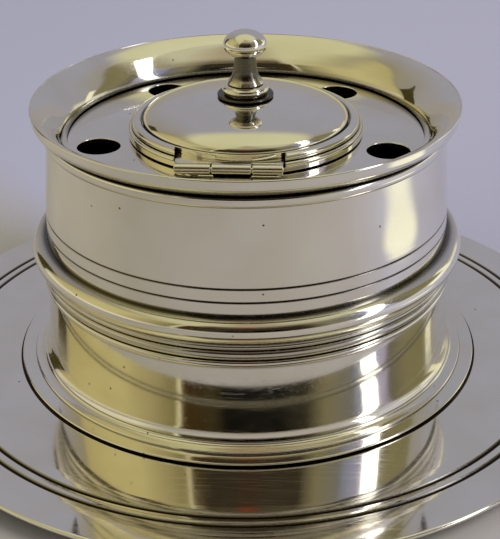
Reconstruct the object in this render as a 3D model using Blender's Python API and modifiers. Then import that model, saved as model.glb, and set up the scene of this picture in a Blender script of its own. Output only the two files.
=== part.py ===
"""Silver capstan inkwell: a waisted drum on a broad flat base, with a flared lip, a sunk plate
pierced for four pens, and a small domed lid hinged over a glass liner.

The drum's axis is Z, the table is Z = 0, and the lid's hinge faces -Y.
"""

import math

import bmesh
import bpy

MM = 0.001

# Facets round a large turning, round a small one, and along a quarter of a moulding
LARGE_STEPS = 48
SMALL_STEPS = 24
WELD_DISTANCE = 0.01 * MM

# Soldered and seated faces keep SEAT_GAP, and what turns keeps RUNNING_GAP
SEAT_GAP = 0.3 * MM
RUNNING_GAP = 0.2 * MM
CUT_OVERRUN = 2.0 * MM

# Underside: green baize glued to a turned hardwood board
BAIZE_THICKNESS = 0.7 * MM
BOARD_THICKNESS = 1.7 * MM
BOARD_INSET = 9.0 * MM
BAIZE_INSET = 1.0 * MM

# Base plate, a flat sheet disc with a rolled edge and two chased reeds
BASE_RADIUS = 75.0 * MM
BASE_SHEET = 1.0 * MM
REED_INSET = 8.8 * MM
REED_PITCH = 2.35 * MM
REED_WIDTH = 0.9 * MM
REED_DEPTH = 0.35 * MM

# Lower drum, plain, spreading a little from the belt down and turned out at its edge
BODY_RADIUS = 42.2 * MM
DRUM_SHEET = 0.9 * MM
DRUM_TAPER = math.radians(4.7)
DRUM_FLARE = 0.55 * MM
DRUM_FLARE_HEIGHT = 2.1 * MM

# Foot moulding: a thin flange, a small bead and a low cavetto under the drum's edge
FOOT_SPREAD = 7.15 * MM
FOOT_FLANGE_THICKNESS = 0.55 * MM
FOOT_RISE = 1.8 * MM
FOOT_BEAD_SPREAD = 4.2 * MM
FOOT_BEAD_RADIUS = 0.3 * MM
FOOT_LAND = 0.3 * MM

# Belt moulding: a half-round wire over three reeds, covering the drum's middle joint
BELT_BOTTOM = 17.8 * MM
BELT_REED_HEIGHTS = (1.7 * MM, 2.25 * MM, 1.7 * MM)
BELT_REED_REACHES = (0.8 * MM, 1.05 * MM, 1.35 * MM)
BELT_ROOT_REACH = 0.3 * MM
BELT_REED_GAP = 0.12 * MM
TORUS_HEIGHT = 4.9 * MM
TORUS_REACH = 2.85 * MM

# Upper drum, drawn in a little towards the lip, with two lines above the belt and a bead under the lip
UPPER_STEP = 0.3 * MM
WAIST_DRAW = 1.1 * MM
LINE_WIDTH = 0.4 * MM
LINE_DEPTH = 0.15 * MM
UPPER_LINE_RISE = 2.9 * MM
UPPER_LINE_PITCH = 2.7 * MM
CAP_BEAD_HEIGHT = 1.9 * MM
CAP_BEAD_REACH = 0.35 * MM

# Flared lip, turned from a heavy ring that drops inside the drum's mouth
RIM_HEIGHT = 56.0 * MM
LIP_HEIGHT = 4.1 * MM
LIP_FLARE = 2.6 * MM
LIP_LEDGE = 3.35 * MM
RIM_EDGE_RADIUS = 0.3 * MM

# Pen plate, sunk below the rim
PLATE_DEPTH = 7.36 * MM
PLATE_SHEET = 1.0 * MM
PEN_HOLE_RADIUS = 4.3 * MM
PEN_HOLE_MARGIN = 1.55 * MM
PEN_HOLE_SPACING = math.radians(71.0)
PEN_HOLE_TURNS = (-2, -1, 1, 2)

# Mouth of the plate, its collar and the glass liner that hangs in it
LINER_RADIUS = 17.0 * MM
LINER_WALL = 2.2 * MM
LINER_FLOOR = 3.0 * MM
LINER_RISE = 16.0 * MM
LINER_FLANGE_WIDTH = 2.2 * MM
LINER_FLANGE_THICKNESS = 1.4 * MM
COLLAR_WALL = 1.3 * MM
COLLAR_FLANGE_WIDTH = 0.9 * MM
COLLAR_FLANGE_THICKNESS = 1.2 * MM
COLLAR_DEPTH = 2.6 * MM

# Lid: a domed shell, a stepped moulding round it and a bezel inside
LID_CLEARANCE = 0.6 * MM
LID_MOULDING_WIDTH = 2.7 * MM
LID_MOULDING_HEIGHT = 3.15 * MM
DOME_SHEET = 0.9 * MM
DOME_RISE = 4.5 * MM
DOME_SKIRT = 0.7 * MM
BEZEL_SHEET = 0.8 * MM
BEZEL_LIFT = 0.3 * MM

# Hinge of the lid: three knuckles on a pin, set a little left of centre
HINGE_INSET = 0.25 * MM
HINGE_SHIFT = -1.8 * MM
BARREL_RADIUS = 0.94 * MM
PIN_RADIUS = 0.4 * MM
PIN_PROUD = 0.15 * MM
LEFT_KNUCKLE = 6.8 * MM
MIDDLE_KNUCKLE = 7.4 * MM
RIGHT_KNUCKLE = 5.7 * MM
LEAF_THICKNESS = 0.7 * MM
LEAF_REACH = 5.2 * MM
LEAF_CREASE_WALL = 0.6 * MM

# Finial, turned in one with its stud, and the nut under the dome
BALL_RADIUS = 4.35 * MM
BALL_HALF_HEIGHT = 2.85 * MM
FINIAL_HEIGHT = 13.1 * MM
NECK_RADIUS = 2.15 * MM
BELL_RADIUS = 3.7 * MM
BELL_HEIGHT = 2.5 * MM
FINIAL_BEAD_RADIUS = 4.73 * MM
FINIAL_BEAD_HEIGHT = 1.95 * MM
FINIAL_BEAD_LIFT = 0.2 * MM
FINIAL_DISC_RADIUS = 5.7 * MM
STUD_RADIUS = 1.1 * MM
STUD_PROUD = 0.3 * MM
NUT_RADIUS = 2.9 * MM
NUT_HEIGHT = 1.6 * MM

# Levels worked out from the sizes above
BOARD_BOTTOM = BAIZE_THICKNESS + SEAT_GAP
PLATE_BOTTOM = BOARD_BOTTOM + BOARD_THICKNESS + SEAT_GAP
BASE_TOP = PLATE_BOTTOM + BASE_SHEET
DRUM_BOTTOM = BASE_TOP + SEAT_GAP
DRUM_EDGE = DRUM_BOTTOM + FOOT_RISE + SEAT_GAP
BELT_LOW = BASE_TOP + BELT_BOTTOM
DRUM_SHOULDER = BELT_LOW - SEAT_GAP
DRUM_EDGE_RADIUS = BODY_RADIUS + (DRUM_SHOULDER - DRUM_EDGE) * math.tan(DRUM_TAPER) + DRUM_FLARE
REEDS_HEIGHT = sum(BELT_REED_HEIGHTS)
TORUS_LOW = BELT_LOW + REEDS_HEIGHT
BELT_HIGH = TORUS_LOW + TORUS_HEIGHT
DRUM_JOINT = TORUS_LOW + TORUS_HEIGHT / 2
RIM_TOP = BASE_TOP + RIM_HEIGHT
LIP_BOTTOM = RIM_TOP - LIP_HEIGHT
PEN_PLATE_TOP = RIM_TOP - PLATE_DEPTH
LID_BOTTOM = PEN_PLATE_TOP + SEAT_GAP
UPPER_RADIUS = BODY_RADIUS - UPPER_STEP
WAIST_RADIUS = UPPER_RADIUS - WAIST_DRAW
MOUTH_WALL_RADIUS = WAIST_RADIUS - DRUM_SHEET
LIP_SKIRT_RADIUS = MOUTH_WALL_RADIUS - SEAT_GAP
THROAT_RADIUS = LIP_SKIRT_RADIUS - LIP_LEDGE
RIM_RADIUS = WAIST_RADIUS + LIP_FLARE
PEN_CIRCLE_RADIUS = THROAT_RADIUS - PEN_HOLE_MARGIN - PEN_HOLE_RADIUS
COLLAR_BORE_RADIUS = LINER_RADIUS + SEAT_GAP
COLLAR_RADIUS = COLLAR_BORE_RADIUS + COLLAR_WALL
COLLAR_FLANGE_RADIUS = COLLAR_RADIUS + COLLAR_FLANGE_WIDTH
MOUTH_RADIUS = COLLAR_RADIUS + SEAT_GAP
COLLAR_TOP = LID_BOTTOM + COLLAR_FLANGE_THICKNESS
LINER_FLANGE_BOTTOM = COLLAR_TOP + SEAT_GAP
LINER_TOP = LINER_FLANGE_BOTTOM + LINER_FLANGE_THICKNESS
LINER_BOTTOM = BASE_TOP + LINER_RISE
BEZEL_INNER_RADIUS = COLLAR_FLANGE_RADIUS + LID_CLEARANCE
DOME_RADIUS = BEZEL_INNER_RADIUS + BEZEL_SHEET
LID_BORE_RADIUS = DOME_RADIUS + SEAT_GAP
LID_RADIUS = LID_BORE_RADIUS + LID_MOULDING_WIDTH
LEAF_CREASE_RADIUS = LID_BORE_RADIUS + LEAF_CREASE_WALL
DOME_EDGE = LID_BOTTOM + LID_MOULDING_HEIGHT - BEZEL_LIFT
DOME_INNER_RADIUS = DOME_RADIUS - DOME_SHEET
DOME_INNER_RISE = DOME_RISE - DOME_SHEET
HINGE_X = HINGE_SHIFT
HINGE_Y = HINGE_INSET - LID_RADIUS
HINGE_Z = PEN_PLATE_TOP + SEAT_GAP + BARREL_RADIUS
BARREL_BORE_RADIUS = PIN_RADIUS + RUNNING_GAP
HINGE_LENGTH = LEFT_KNUCKLE + MIDDLE_KNUCKLE + RIGHT_KNUCKLE + 2 * SEAT_GAP
HINGE_LEFT = HINGE_X - HINGE_LENGTH / 2
HINGE_SWEEP_RADIUS = BARREL_RADIUS + SEAT_GAP
LEAF_TOP = HINGE_Z + BARREL_RADIUS

# Rings of the lower drum's turned-out edge, as shares of the edge's height
FLARE_SHARES = (1.0, 0.6, 0.3, 0.1, 0.0)
# Inner face of the lip, as shares of the way from the plate's edge to the rim
LIP_INNER_SHARES = (
    (0.0, 0.0),
    (0.03, 0.13),
    (0.12, 0.29),
    (0.30, 0.50),
    (0.52, 0.72),
    (0.76, 0.895),
    (0.94, 0.98),
)
# Underside of the lip, as shares of its flare and height from the drum up
LIP_OUTER_SHARES = ((0.98, 0.80), (0.95, 0.60), (0.84, 0.42), (0.60, 0.26), (0.25, 0.12))
# Outside of the lid moulding, as shares of its width from the bore and of its height
LID_MOULDING_SHARES = (
    (0.0, 0.90),
    (0.12, 0.985),
    (0.35, 1.0),
    (0.60, 0.93),
    (0.76, 0.72),
    (0.74, 0.60),
    (0.92, 0.52),
    (1.0, 0.36),
)
# Neck of the finial, as shares from the neck's radius to the bell's and from the bell's foot to the ball
NECK_SHARES = ((0.02, 0.92), (0.09, 0.62), (0.18, 0.42), (0.44, 0.22), (0.76, 0.10))


def new_collection(name):
    collection = bpy.data.collections.new(name)
    bpy.context.scene.collection.children.link(collection)
    return collection


def finish(name, colour, metallic, roughness):
    """A plain Principled finish."""
    material = bpy.data.materials.new(name)
    material.use_nodes = True
    shader = material.node_tree.nodes["Principled BSDF"]
    shader.inputs["Base Color"].default_value = (*colour, 1.0)
    shader.inputs["Metallic"].default_value = metallic
    shader.inputs["Roughness"].default_value = roughness
    return material


def add_object(name, mesh, material):
    piece = bpy.data.objects.new(name, mesh)
    PARTS.objects.link(piece)
    if material:
        mesh.materials.append(material)
    return piece


def turned(name, profile, material, steps=LARGE_STEPS, closed=True):
    """Turn a profile of (radius, height) points about Z, with its outer side listed from the top down."""
    mesh = bpy.data.meshes.new(name)
    count = len(profile)
    edges = [(index, index + 1) for index in range(count - 1)]
    if closed:
        edges.append((count - 1, 0))
    mesh.from_pydata([(radius, 0.0, height) for radius, height in profile], edges, [])
    piece = add_object(name, mesh, material)
    screw = piece.modifiers.new("turn", "SCREW")
    screw.steps = steps
    screw.render_steps = steps
    screw.use_merge_vertices = True
    screw.merge_threshold = WELD_DISTANCE
    screw.use_smooth_shade = True
    return piece


def as_cutter(piece):
    piece.hide_render = True
    piece.display_type = "WIRE"
    PARTS.objects.unlink(piece)
    CUTTERS.objects.link(piece)
    return piece


def cylinder(name, radius, length, centre, steps=SMALL_STEPS, along_x=False, material=None):
    mesh = bpy.data.meshes.new(name)
    shape = bmesh.new()
    bmesh.ops.create_cone(
        shape, cap_ends=True, segments=steps, radius1=radius, radius2=radius, depth=length
    )
    shape.to_mesh(mesh)
    shape.free()
    piece = add_object(name, mesh, material)
    piece.location = centre
    if along_x:
        piece.rotation_euler = (0.0, math.radians(90.0), 0.0)
    return piece


def box(name, low, high, material=None):
    """A box between two corners, with its size applied to its mesh."""
    mesh = bpy.data.meshes.new(name)
    shape = bmesh.new()
    bmesh.ops.create_cube(shape, size=1.0)
    bmesh.ops.scale(shape, vec=[top - bottom for bottom, top in zip(low, high)], verts=shape.verts)
    shape.to_mesh(mesh)
    shape.free()
    piece = add_object(name, mesh, material)
    piece.location = [(bottom + top) / 2 for bottom, top in zip(low, high)]
    return piece


def boolean(piece, other, operation="DIFFERENCE"):
    modifier = piece.modifiers.new(f"{operation.lower()} {other.name}", "BOOLEAN")
    modifier.operation = operation
    modifier.solver = "EXACT"
    modifier.object = other


def arc(centre_r, centre_z, reach, rise, start, end, count):
    """Points on an ellipse arc from start to end, in degrees from +R towards +Z."""
    points = []
    for index in range(count):
        turn = math.radians(start + (end - start) * index / (count - 1))
        points.append((centre_r + reach * math.cos(turn), centre_z + rise * math.sin(turn)))
    return points


def groove(radius, height, width, depth):
    """A V cut into an upright wall, from the top down."""
    return [(radius, height + width / 2), (radius - depth, height), (radius, height - width / 2)]


def shared(shares, r_low, r_high, z_low, z_high):
    return [(r_low + (r_high - r_low) * u, z_low + (z_high - z_low) * v) for u, v in shares]


def waist(height):
    """Outer radius of the upper drum at a height, easing from the belt to the lip."""
    share = min(max((height - BELT_HIGH) / (LIP_BOTTOM - BELT_HIGH), 0.0), 1.0)
    return UPPER_RADIUS - WAIST_DRAW * (1.0 - math.cos(math.pi * share)) / 2


def dome_height(radius):
    return DOME_EDGE + DOME_RISE * math.sqrt(1.0 - (radius / DOME_RADIUS) ** 2)


def make_underside():
    board_radius = BASE_RADIUS - BOARD_INSET
    baize_radius = board_radius - BAIZE_INSET
    turned(
        "baize_pad",
        [(0.0, BAIZE_THICKNESS), (baize_radius, BAIZE_THICKNESS), (baize_radius, 0.0), (0.0, 0.0)],
        BAIZE,
        closed=False,
    )
    top = BOARD_BOTTOM + BOARD_THICKNESS
    turned(
        "base_board",
        [(0.0, top), (board_radius, top), (board_radius, BOARD_BOTTOM), (0.0, BOARD_BOTTOM)],
        HARDWOOD,
        closed=False,
    )


def make_base_plate():
    profile = [(0.0, BASE_TOP)]
    outer_reed = BASE_RADIUS - REED_INSET
    for reed in (outer_reed - REED_PITCH, outer_reed):
        profile += [
            (reed - REED_WIDTH / 2, BASE_TOP),
            (reed, BASE_TOP - REED_DEPTH),
            (reed + REED_WIDTH / 2, BASE_TOP),
        ]
    half = BASE_SHEET / 2
    profile += arc(BASE_RADIUS - half, BASE_TOP - half, half, half, 90.0, -90.0, 5)
    profile.append((0.0, PLATE_BOTTOM))
    turned("base_plate", profile, SILVER, closed=False)


def make_foot_moulding():
    bottom = DRUM_BOTTOM
    flange_top = bottom + FOOT_FLANGE_THICKNESS
    top = bottom + FOOT_RISE
    bore = BODY_RADIUS + SEAT_GAP
    bead_r = BODY_RADIUS + FOOT_BEAD_SPREAD - FOOT_BEAD_RADIUS
    bead_z = flange_top + FOOT_BEAD_RADIUS
    land_r = DRUM_EDGE_RADIUS + FOOT_LAND
    half = FOOT_FLANGE_THICKNESS / 2
    profile = [(bore, top), (land_r, top)]
    sweep_r = bead_r - land_r
    sweep_z = top - bead_z - FOOT_BEAD_RADIUS
    profile += arc(bead_r, top, -sweep_r, -sweep_z, 25.0, 65.0, 3)
    profile += arc(bead_r, bead_z, FOOT_BEAD_RADIUS, FOOT_BEAD_RADIUS, 90.0, 0.0, 3)
    profile.append((bead_r + FOOT_BEAD_RADIUS, flange_top))
    rim_r = BODY_RADIUS + FOOT_SPREAD - half
    profile += arc(rim_r, flange_top - half, half, half, 90.0, -90.0, 4)
    profile.append((bore, bottom))
    turned("foot_moulding", profile, SILVER)


def spread(height):
    """Outer radius of the lower drum at a height, with its edge turned out over the foot."""
    flare = min(max((DRUM_EDGE + DRUM_FLARE_HEIGHT - height) / DRUM_FLARE_HEIGHT, 0.0), 1.0)
    return BODY_RADIUS + (DRUM_SHOULDER - height) * math.tan(DRUM_TAPER) + DRUM_FLARE * flare**2


def make_lower_drum():
    top = DRUM_JOINT - SEAT_GAP / 2
    flare_top = DRUM_EDGE + DRUM_FLARE_HEIGHT
    profile = [(UPPER_RADIUS, top), (UPPER_RADIUS, DRUM_SHOULDER), (BODY_RADIUS, DRUM_SHOULDER)]
    for share in FLARE_SHARES:
        height = DRUM_EDGE + DRUM_FLARE_HEIGHT * share
        profile.append((spread(height), height))
    profile += [
        (BODY_RADIUS, DRUM_EDGE),
        (BODY_RADIUS, DRUM_BOTTOM),
        (BODY_RADIUS - DRUM_SHEET, DRUM_BOTTOM),
        (BODY_RADIUS - DRUM_SHEET, DRUM_EDGE + DRUM_SHEET),
        (spread(flare_top) - DRUM_SHEET, flare_top),
        (BODY_RADIUS - DRUM_SHEET, DRUM_SHOULDER),
        (BODY_RADIUS - DRUM_SHEET, top),
    ]
    turned("lower_drum", profile, SILVER)


def make_upper_drum():
    bottom = DRUM_JOINT + SEAT_GAP / 2
    top = LIP_BOTTOM - SEAT_GAP
    bead_low = top - CAP_BEAD_HEIGHT
    low_line = BELT_HIGH + UPPER_LINE_RISE
    high_line = low_line + UPPER_LINE_PITCH
    span = bead_low - high_line
    heights = [bead_low, high_line + span * 0.75, high_line + span * 0.5, high_line + span * 0.25]
    profile = [(waist(top), top)]
    profile += arc(waist(top), top - CAP_BEAD_HEIGHT / 2, CAP_BEAD_REACH, CAP_BEAD_HEIGHT / 2, 80.0, -80.0, 5)
    profile += [(waist(height), height) for height in heights]
    for height in (high_line, low_line):
        profile += groove(waist(height), height, LINE_WIDTH, LINE_DEPTH)
    profile += [(waist(BELT_HIGH), BELT_HIGH), (UPPER_RADIUS, bottom)]
    inner = [bottom, BELT_HIGH, high_line, *reversed(heights), top]
    profile += [(waist(height) - DRUM_SHEET, height) for height in inner]
    turned("upper_drum", profile, SILVER)


def make_belt_moulding():
    bore = UPPER_RADIUS + SEAT_GAP
    root = BODY_RADIUS + BELT_ROOT_REACH
    half = TORUS_HEIGHT / 2
    profile = [(bore, BELT_HIGH)]
    profile += arc(root, DRUM_JOINT, BODY_RADIUS + TORUS_REACH - root, half, 80.0, -80.0, 8)
    top = TORUS_LOW
    for height, reach in zip(reversed(BELT_REED_HEIGHTS), reversed(BELT_REED_REACHES)):
        middle = top - height / 2
        rise = height / 2 - BELT_REED_GAP
        profile += arc(root, middle, BODY_RADIUS + reach - root, rise, 80.0, -80.0, 4)
        top -= height
    profile += [(root, BELT_LOW), (bore, BELT_LOW)]
    turned("belt_moulding", profile, SILVER)


def make_lip_moulding():
    plate_seat = LID_BOTTOM
    edge = RIM_EDGE_RADIUS
    profile = arc(RIM_RADIUS - edge, RIM_TOP - edge, edge, edge, 100.0, -20.0, 4)
    profile += shared(LIP_OUTER_SHARES, WAIST_RADIUS, RIM_RADIUS, LIP_BOTTOM, RIM_TOP)
    profile += [
        (WAIST_RADIUS, LIP_BOTTOM),
        (LIP_SKIRT_RADIUS, LIP_BOTTOM),
        (LIP_SKIRT_RADIUS, plate_seat),
    ]
    profile += shared(LIP_INNER_SHARES, THROAT_RADIUS, RIM_RADIUS, plate_seat, RIM_TOP)
    turned("lip_moulding", profile, SILVER)


def make_pen_plate():
    bottom = PEN_PLATE_TOP - PLATE_SHEET
    plate = turned(
        "pen_plate",
        [
            (LIP_SKIRT_RADIUS, PEN_PLATE_TOP),
            (LIP_SKIRT_RADIUS, bottom),
            (MOUTH_RADIUS, bottom),
            (MOUTH_RADIUS, PEN_PLATE_TOP),
        ],
        SILVER,
    )
    middle = (PEN_PLATE_TOP + bottom) / 2
    for turn in PEN_HOLE_TURNS:
        angle = math.radians(-90.0) + turn * PEN_HOLE_SPACING
        centre = (
            PEN_CIRCLE_RADIUS * math.cos(angle),
            PEN_CIRCLE_RADIUS * math.sin(angle),
            middle,
        )
        length = PLATE_SHEET + 2 * CUT_OVERRUN
        hole = cylinder(f"pen_hole_{turn}", PEN_HOLE_RADIUS, length, centre)
        boolean(plate, as_cutter(hole))


def make_mouth_collar():
    bottom = PEN_PLATE_TOP - COLLAR_DEPTH
    turned(
        "mouth_collar",
        [
            (COLLAR_BORE_RADIUS, COLLAR_TOP),
            (COLLAR_FLANGE_RADIUS, COLLAR_TOP),
            (COLLAR_FLANGE_RADIUS, LID_BOTTOM),
            (COLLAR_RADIUS, LID_BOTTOM),
            (COLLAR_RADIUS, bottom),
            (COLLAR_BORE_RADIUS, bottom),
        ],
        SILVER,
    )


def make_glass_liner():
    inner = LINER_RADIUS - LINER_WALL
    floor = LINER_BOTTOM + LINER_FLOOR
    flange = LINER_RADIUS + LINER_FLANGE_WIDTH
    corner = LINER_WALL
    profile = [(0.0, floor)]
    profile += arc(inner - corner, floor + corner, corner, corner, -90.0, 0.0, 3)
    profile += [
        (inner, LINER_TOP),
        (flange, LINER_TOP),
        (flange, LINER_FLANGE_BOTTOM),
        (LINER_RADIUS, LINER_FLANGE_BOTTOM),
    ]
    profile += arc(LINER_RADIUS - corner, LINER_BOTTOM + corner, corner, corner, 0.0, -90.0, 3)
    profile.append((0.0, LINER_BOTTOM))
    turned("glass_liner", profile, GLASS, closed=False)


def make_lid_dome():
    hole = STUD_RADIUS + SEAT_GAP
    skirt_bottom = DOME_EDGE - DOME_SKIRT
    crown = math.degrees(math.acos(hole / DOME_RADIUS))
    inner_crown = math.degrees(math.acos(hole / DOME_INNER_RADIUS))
    profile = arc(0.0, DOME_EDGE, DOME_RADIUS, DOME_RISE, crown, 0.0, 10)
    profile += [(DOME_RADIUS, skirt_bottom), (DOME_INNER_RADIUS, skirt_bottom)]
    profile += arc(0.0, DOME_EDGE, DOME_INNER_RADIUS, DOME_INNER_RISE, 0.0, inner_crown, 7)
    return turned("lid_dome", profile, SILVER)


def crease_core(name, radius):
    """What stays of the lid inside the crease that the leaf's back edge follows."""
    return as_cutter(cylinder(name, radius, 4 * LID_MOULDING_HEIGHT, (0.0, 0.0, LEAF_TOP), LARGE_STEPS))


def make_lid_moulding():
    top = LID_BOTTOM + LID_MOULDING_HEIGHT
    profile = shared(LID_MOULDING_SHARES, LID_BORE_RADIUS, LID_RADIUS, LID_BOTTOM, top)
    profile += [(LID_RADIUS, LID_BOTTOM), (LID_BORE_RADIUS, LID_BOTTOM)]
    moulding = turned("lid_moulding", profile, SILVER)
    sweep = cylinder(
        "hinge_sweep",
        HINGE_SWEEP_RADIUS,
        HINGE_LENGTH + 2 * SEAT_GAP,
        (HINGE_X, HINGE_Y, HINGE_Z),
        along_x=True,
    )
    boolean(moulding, as_cutter(sweep))
    notch = box(
        "leaf_notch",
        (HINGE_LEFT - SEAT_GAP, HINGE_Y - BARREL_RADIUS, LEAF_TOP - LEAF_THICKNESS - SEAT_GAP),
        (HINGE_LEFT + HINGE_LENGTH + SEAT_GAP, HINGE_Y + LEAF_REACH + SEAT_GAP, top + CUT_OVERRUN),
    )
    boolean(notch, crease_core("crease_core", LEAF_CREASE_RADIUS))
    boolean(moulding, as_cutter(notch))
    return moulding


def make_lid_bezel():
    outer = DOME_RADIUS
    bottom = LID_BOTTOM + BEZEL_LIFT
    top = DOME_EDGE - DOME_SKIRT - SEAT_GAP
    return turned(
        "lid_bezel",
        [
            (outer, top),
            (outer, bottom),
            (BEZEL_INNER_RADIUS, bottom),
            (BEZEL_INNER_RADIUS, top),
        ],
        SILVER,
    )


def make_knuckle(name, start, length):
    """A fixed knuckle: a short tube along X, soldered to the plate."""
    knuckle = turned(
        name,
        [
            (BARREL_RADIUS, length),
            (BARREL_RADIUS, 0.0),
            (BARREL_BORE_RADIUS, 0.0),
            (BARREL_BORE_RADIUS, length),
        ],
        SILVER,
        steps=SMALL_STEPS,
    )
    knuckle.location = (start, HINGE_Y, HINGE_Z)
    knuckle.rotation_euler = (0.0, math.radians(90.0), 0.0)
    return knuckle


def make_lid_leaf():
    """The lid's half of the hinge: a flat leaf with the middle knuckle under its front edge."""
    leaf_low = LEAF_TOP - LEAF_THICKNESS
    front = HINGE_Y + HINGE_SWEEP_RADIUS
    leaf = box(
        "lid_leaf",
        (HINGE_LEFT, front, leaf_low),
        (HINGE_LEFT + HINGE_LENGTH, HINGE_Y + LEAF_REACH, LEAF_TOP),
        SILVER,
    )
    boolean(leaf, crease_core("leaf_core", LEAF_CREASE_RADIUS + SEAT_GAP))
    middle_left = HINGE_LEFT + LEFT_KNUCKLE + SEAT_GAP
    middle_right = middle_left + MIDDLE_KNUCKLE
    middle = ((middle_left + middle_right) / 2, HINGE_Y, HINGE_Z)
    barrel = cylinder("middle_knuckle", BARREL_RADIUS, MIDDLE_KNUCKLE, middle, along_x=True)
    boolean(leaf, as_cutter(barrel), "UNION")
    tongue = box(
        "leaf_tongue",
        (middle_left, HINGE_Y, leaf_low),
        (middle_right, front + SEAT_GAP / 2, LEAF_TOP),
    )
    boolean(leaf, as_cutter(tongue), "UNION")
    bore_length = MIDDLE_KNUCKLE + 2 * CUT_OVERRUN
    bore = cylinder("middle_bore", BARREL_BORE_RADIUS, bore_length, middle, along_x=True)
    boolean(leaf, as_cutter(bore))
    return leaf


def make_finial():
    foot = dome_height(0.0) + SEAT_GAP
    ball_z = foot + FINIAL_HEIGHT - BALL_HALF_HEIGHT
    bell_z = foot + BELL_HEIGHT
    bead_z = foot + FINIAL_BEAD_LIFT + FINIAL_BEAD_HEIGHT / 2
    join = -math.degrees(math.acos(NECK_RADIUS / BALL_RADIUS))
    ball_bottom = ball_z + BALL_HALF_HEIGHT * math.sin(math.radians(join))
    profile = arc(0.0, ball_z, BALL_RADIUS, BALL_HALF_HEIGHT, 90.0, join, 9)
    profile += shared(NECK_SHARES, NECK_RADIUS, BELL_RADIUS, bell_z, ball_bottom)
    profile += [(BELL_RADIUS, bell_z), (BELL_RADIUS - SEAT_GAP, bell_z - SEAT_GAP)]
    half = FINIAL_BEAD_HEIGHT / 2
    bead_reach = FINIAL_BEAD_RADIUS - BELL_RADIUS + SEAT_GAP
    profile += arc(BELL_RADIUS - SEAT_GAP, bead_z, bead_reach, half, 70.0, -50.0, 5)
    disc_low = dome_height(FINIAL_DISC_RADIUS) + SEAT_GAP
    disc_top = bead_z - half
    profile += [
        (FINIAL_DISC_RADIUS - SEAT_GAP, disc_top),
        (FINIAL_DISC_RADIUS, disc_top - SEAT_GAP / 2),
        (FINIAL_DISC_RADIUS, disc_low),
        (STUD_RADIUS, dome_height(STUD_RADIUS) + SEAT_GAP),
    ]
    stud_bottom = DOME_EDGE + DOME_INNER_RISE - SEAT_GAP - NUT_HEIGHT - STUD_PROUD
    profile += [(STUD_RADIUS, stud_bottom), (0.0, stud_bottom)]
    return turned("finial", profile, SILVER, steps=SMALL_STEPS, closed=False)


def make_finial_nut():
    top = DOME_EDGE + DOME_INNER_RISE - SEAT_GAP - DOME_SHEET / 4
    centre = (0.0, 0.0, top - NUT_HEIGHT / 2)
    nut = cylinder("finial_nut", NUT_RADIUS, NUT_HEIGHT, centre, steps=6, material=BRASS)
    bore = cylinder("nut_bore", STUD_RADIUS + SEAT_GAP, NUT_HEIGHT + 2 * CUT_OVERRUN, centre)
    boolean(nut, as_cutter(bore))
    return nut


def hang_on(pivot, piece):
    """Parent a piece to the hinge's empty, leaving it where it stands."""
    for child in piece:
        child.location = [place - origin for place, origin in zip(child.location, pivot.location)]
        child.parent = pivot


for old in list(bpy.data.objects):
    bpy.data.objects.remove(old, do_unlink=True)

PARTS = new_collection("capstan_inkwell")
CUTTERS = new_collection("cutters")
SILVER = finish("polished_silver", (0.90, 0.88, 0.83), 1.0, 0.08)
GLASS = finish("liner_glass", (0.80, 0.88, 0.86), 0.0, 0.05)
HARDWOOD = finish("stained_hardwood", (0.16, 0.08, 0.04), 0.0, 0.5)
BAIZE = finish("green_baize", (0.03, 0.12, 0.06), 0.0, 0.95)
BRASS = finish("brass", (0.78, 0.60, 0.30), 1.0, 0.25)

make_underside()
make_base_plate()
make_foot_moulding()
make_lower_drum()
make_upper_drum()
make_belt_moulding()
make_lip_moulding()
make_pen_plate()
make_mouth_collar()
make_glass_liner()

make_knuckle("hinge_knuckle_left", HINGE_LEFT, LEFT_KNUCKLE)
make_knuckle("hinge_knuckle_right", HINGE_LEFT + HINGE_LENGTH - RIGHT_KNUCKLE, RIGHT_KNUCKLE)
cylinder(
    "hinge_pin",
    PIN_RADIUS,
    HINGE_LENGTH + 2 * PIN_PROUD,
    (HINGE_X, HINGE_Y, HINGE_Z),
    along_x=True,
    material=SILVER,
)

lid_hinge = bpy.data.objects.new("lid_hinge", None)
PARTS.objects.link(lid_hinge)
lid_hinge.location = (HINGE_X, HINGE_Y, HINGE_Z)
hang_on(
    lid_hinge,
    [
        make_lid_leaf(),
        make_lid_moulding(),
        make_lid_bezel(),
        make_lid_dome(),
        make_finial(),
        make_finial_nut(),
    ],
)
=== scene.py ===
"""The capstan inkwell, dressed. Turned and soldered silver over a hardwood board, with a glass liner."""

import math

import bmesh
import bpy
from mathutils import Matrix, Vector


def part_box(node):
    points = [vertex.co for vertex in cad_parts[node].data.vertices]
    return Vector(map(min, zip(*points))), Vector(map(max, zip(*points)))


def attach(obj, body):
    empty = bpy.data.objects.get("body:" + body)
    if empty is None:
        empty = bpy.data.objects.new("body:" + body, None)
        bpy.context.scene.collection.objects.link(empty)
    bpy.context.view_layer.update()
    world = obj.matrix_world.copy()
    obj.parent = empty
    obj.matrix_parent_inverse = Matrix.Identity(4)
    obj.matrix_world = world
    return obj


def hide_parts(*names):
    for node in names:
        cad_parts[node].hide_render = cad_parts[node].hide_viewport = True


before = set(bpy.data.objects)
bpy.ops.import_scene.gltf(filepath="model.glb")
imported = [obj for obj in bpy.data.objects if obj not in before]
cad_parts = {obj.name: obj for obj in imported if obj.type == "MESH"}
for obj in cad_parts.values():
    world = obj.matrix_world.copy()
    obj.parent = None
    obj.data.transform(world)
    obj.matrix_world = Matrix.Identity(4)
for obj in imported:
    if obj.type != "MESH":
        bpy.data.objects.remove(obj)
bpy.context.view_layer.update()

# The camera: a long lens a quarter of a metre away, looking down at the inkwell.
# It stands a little to the right of the lid's hinge, and leans by half a degree.

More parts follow.
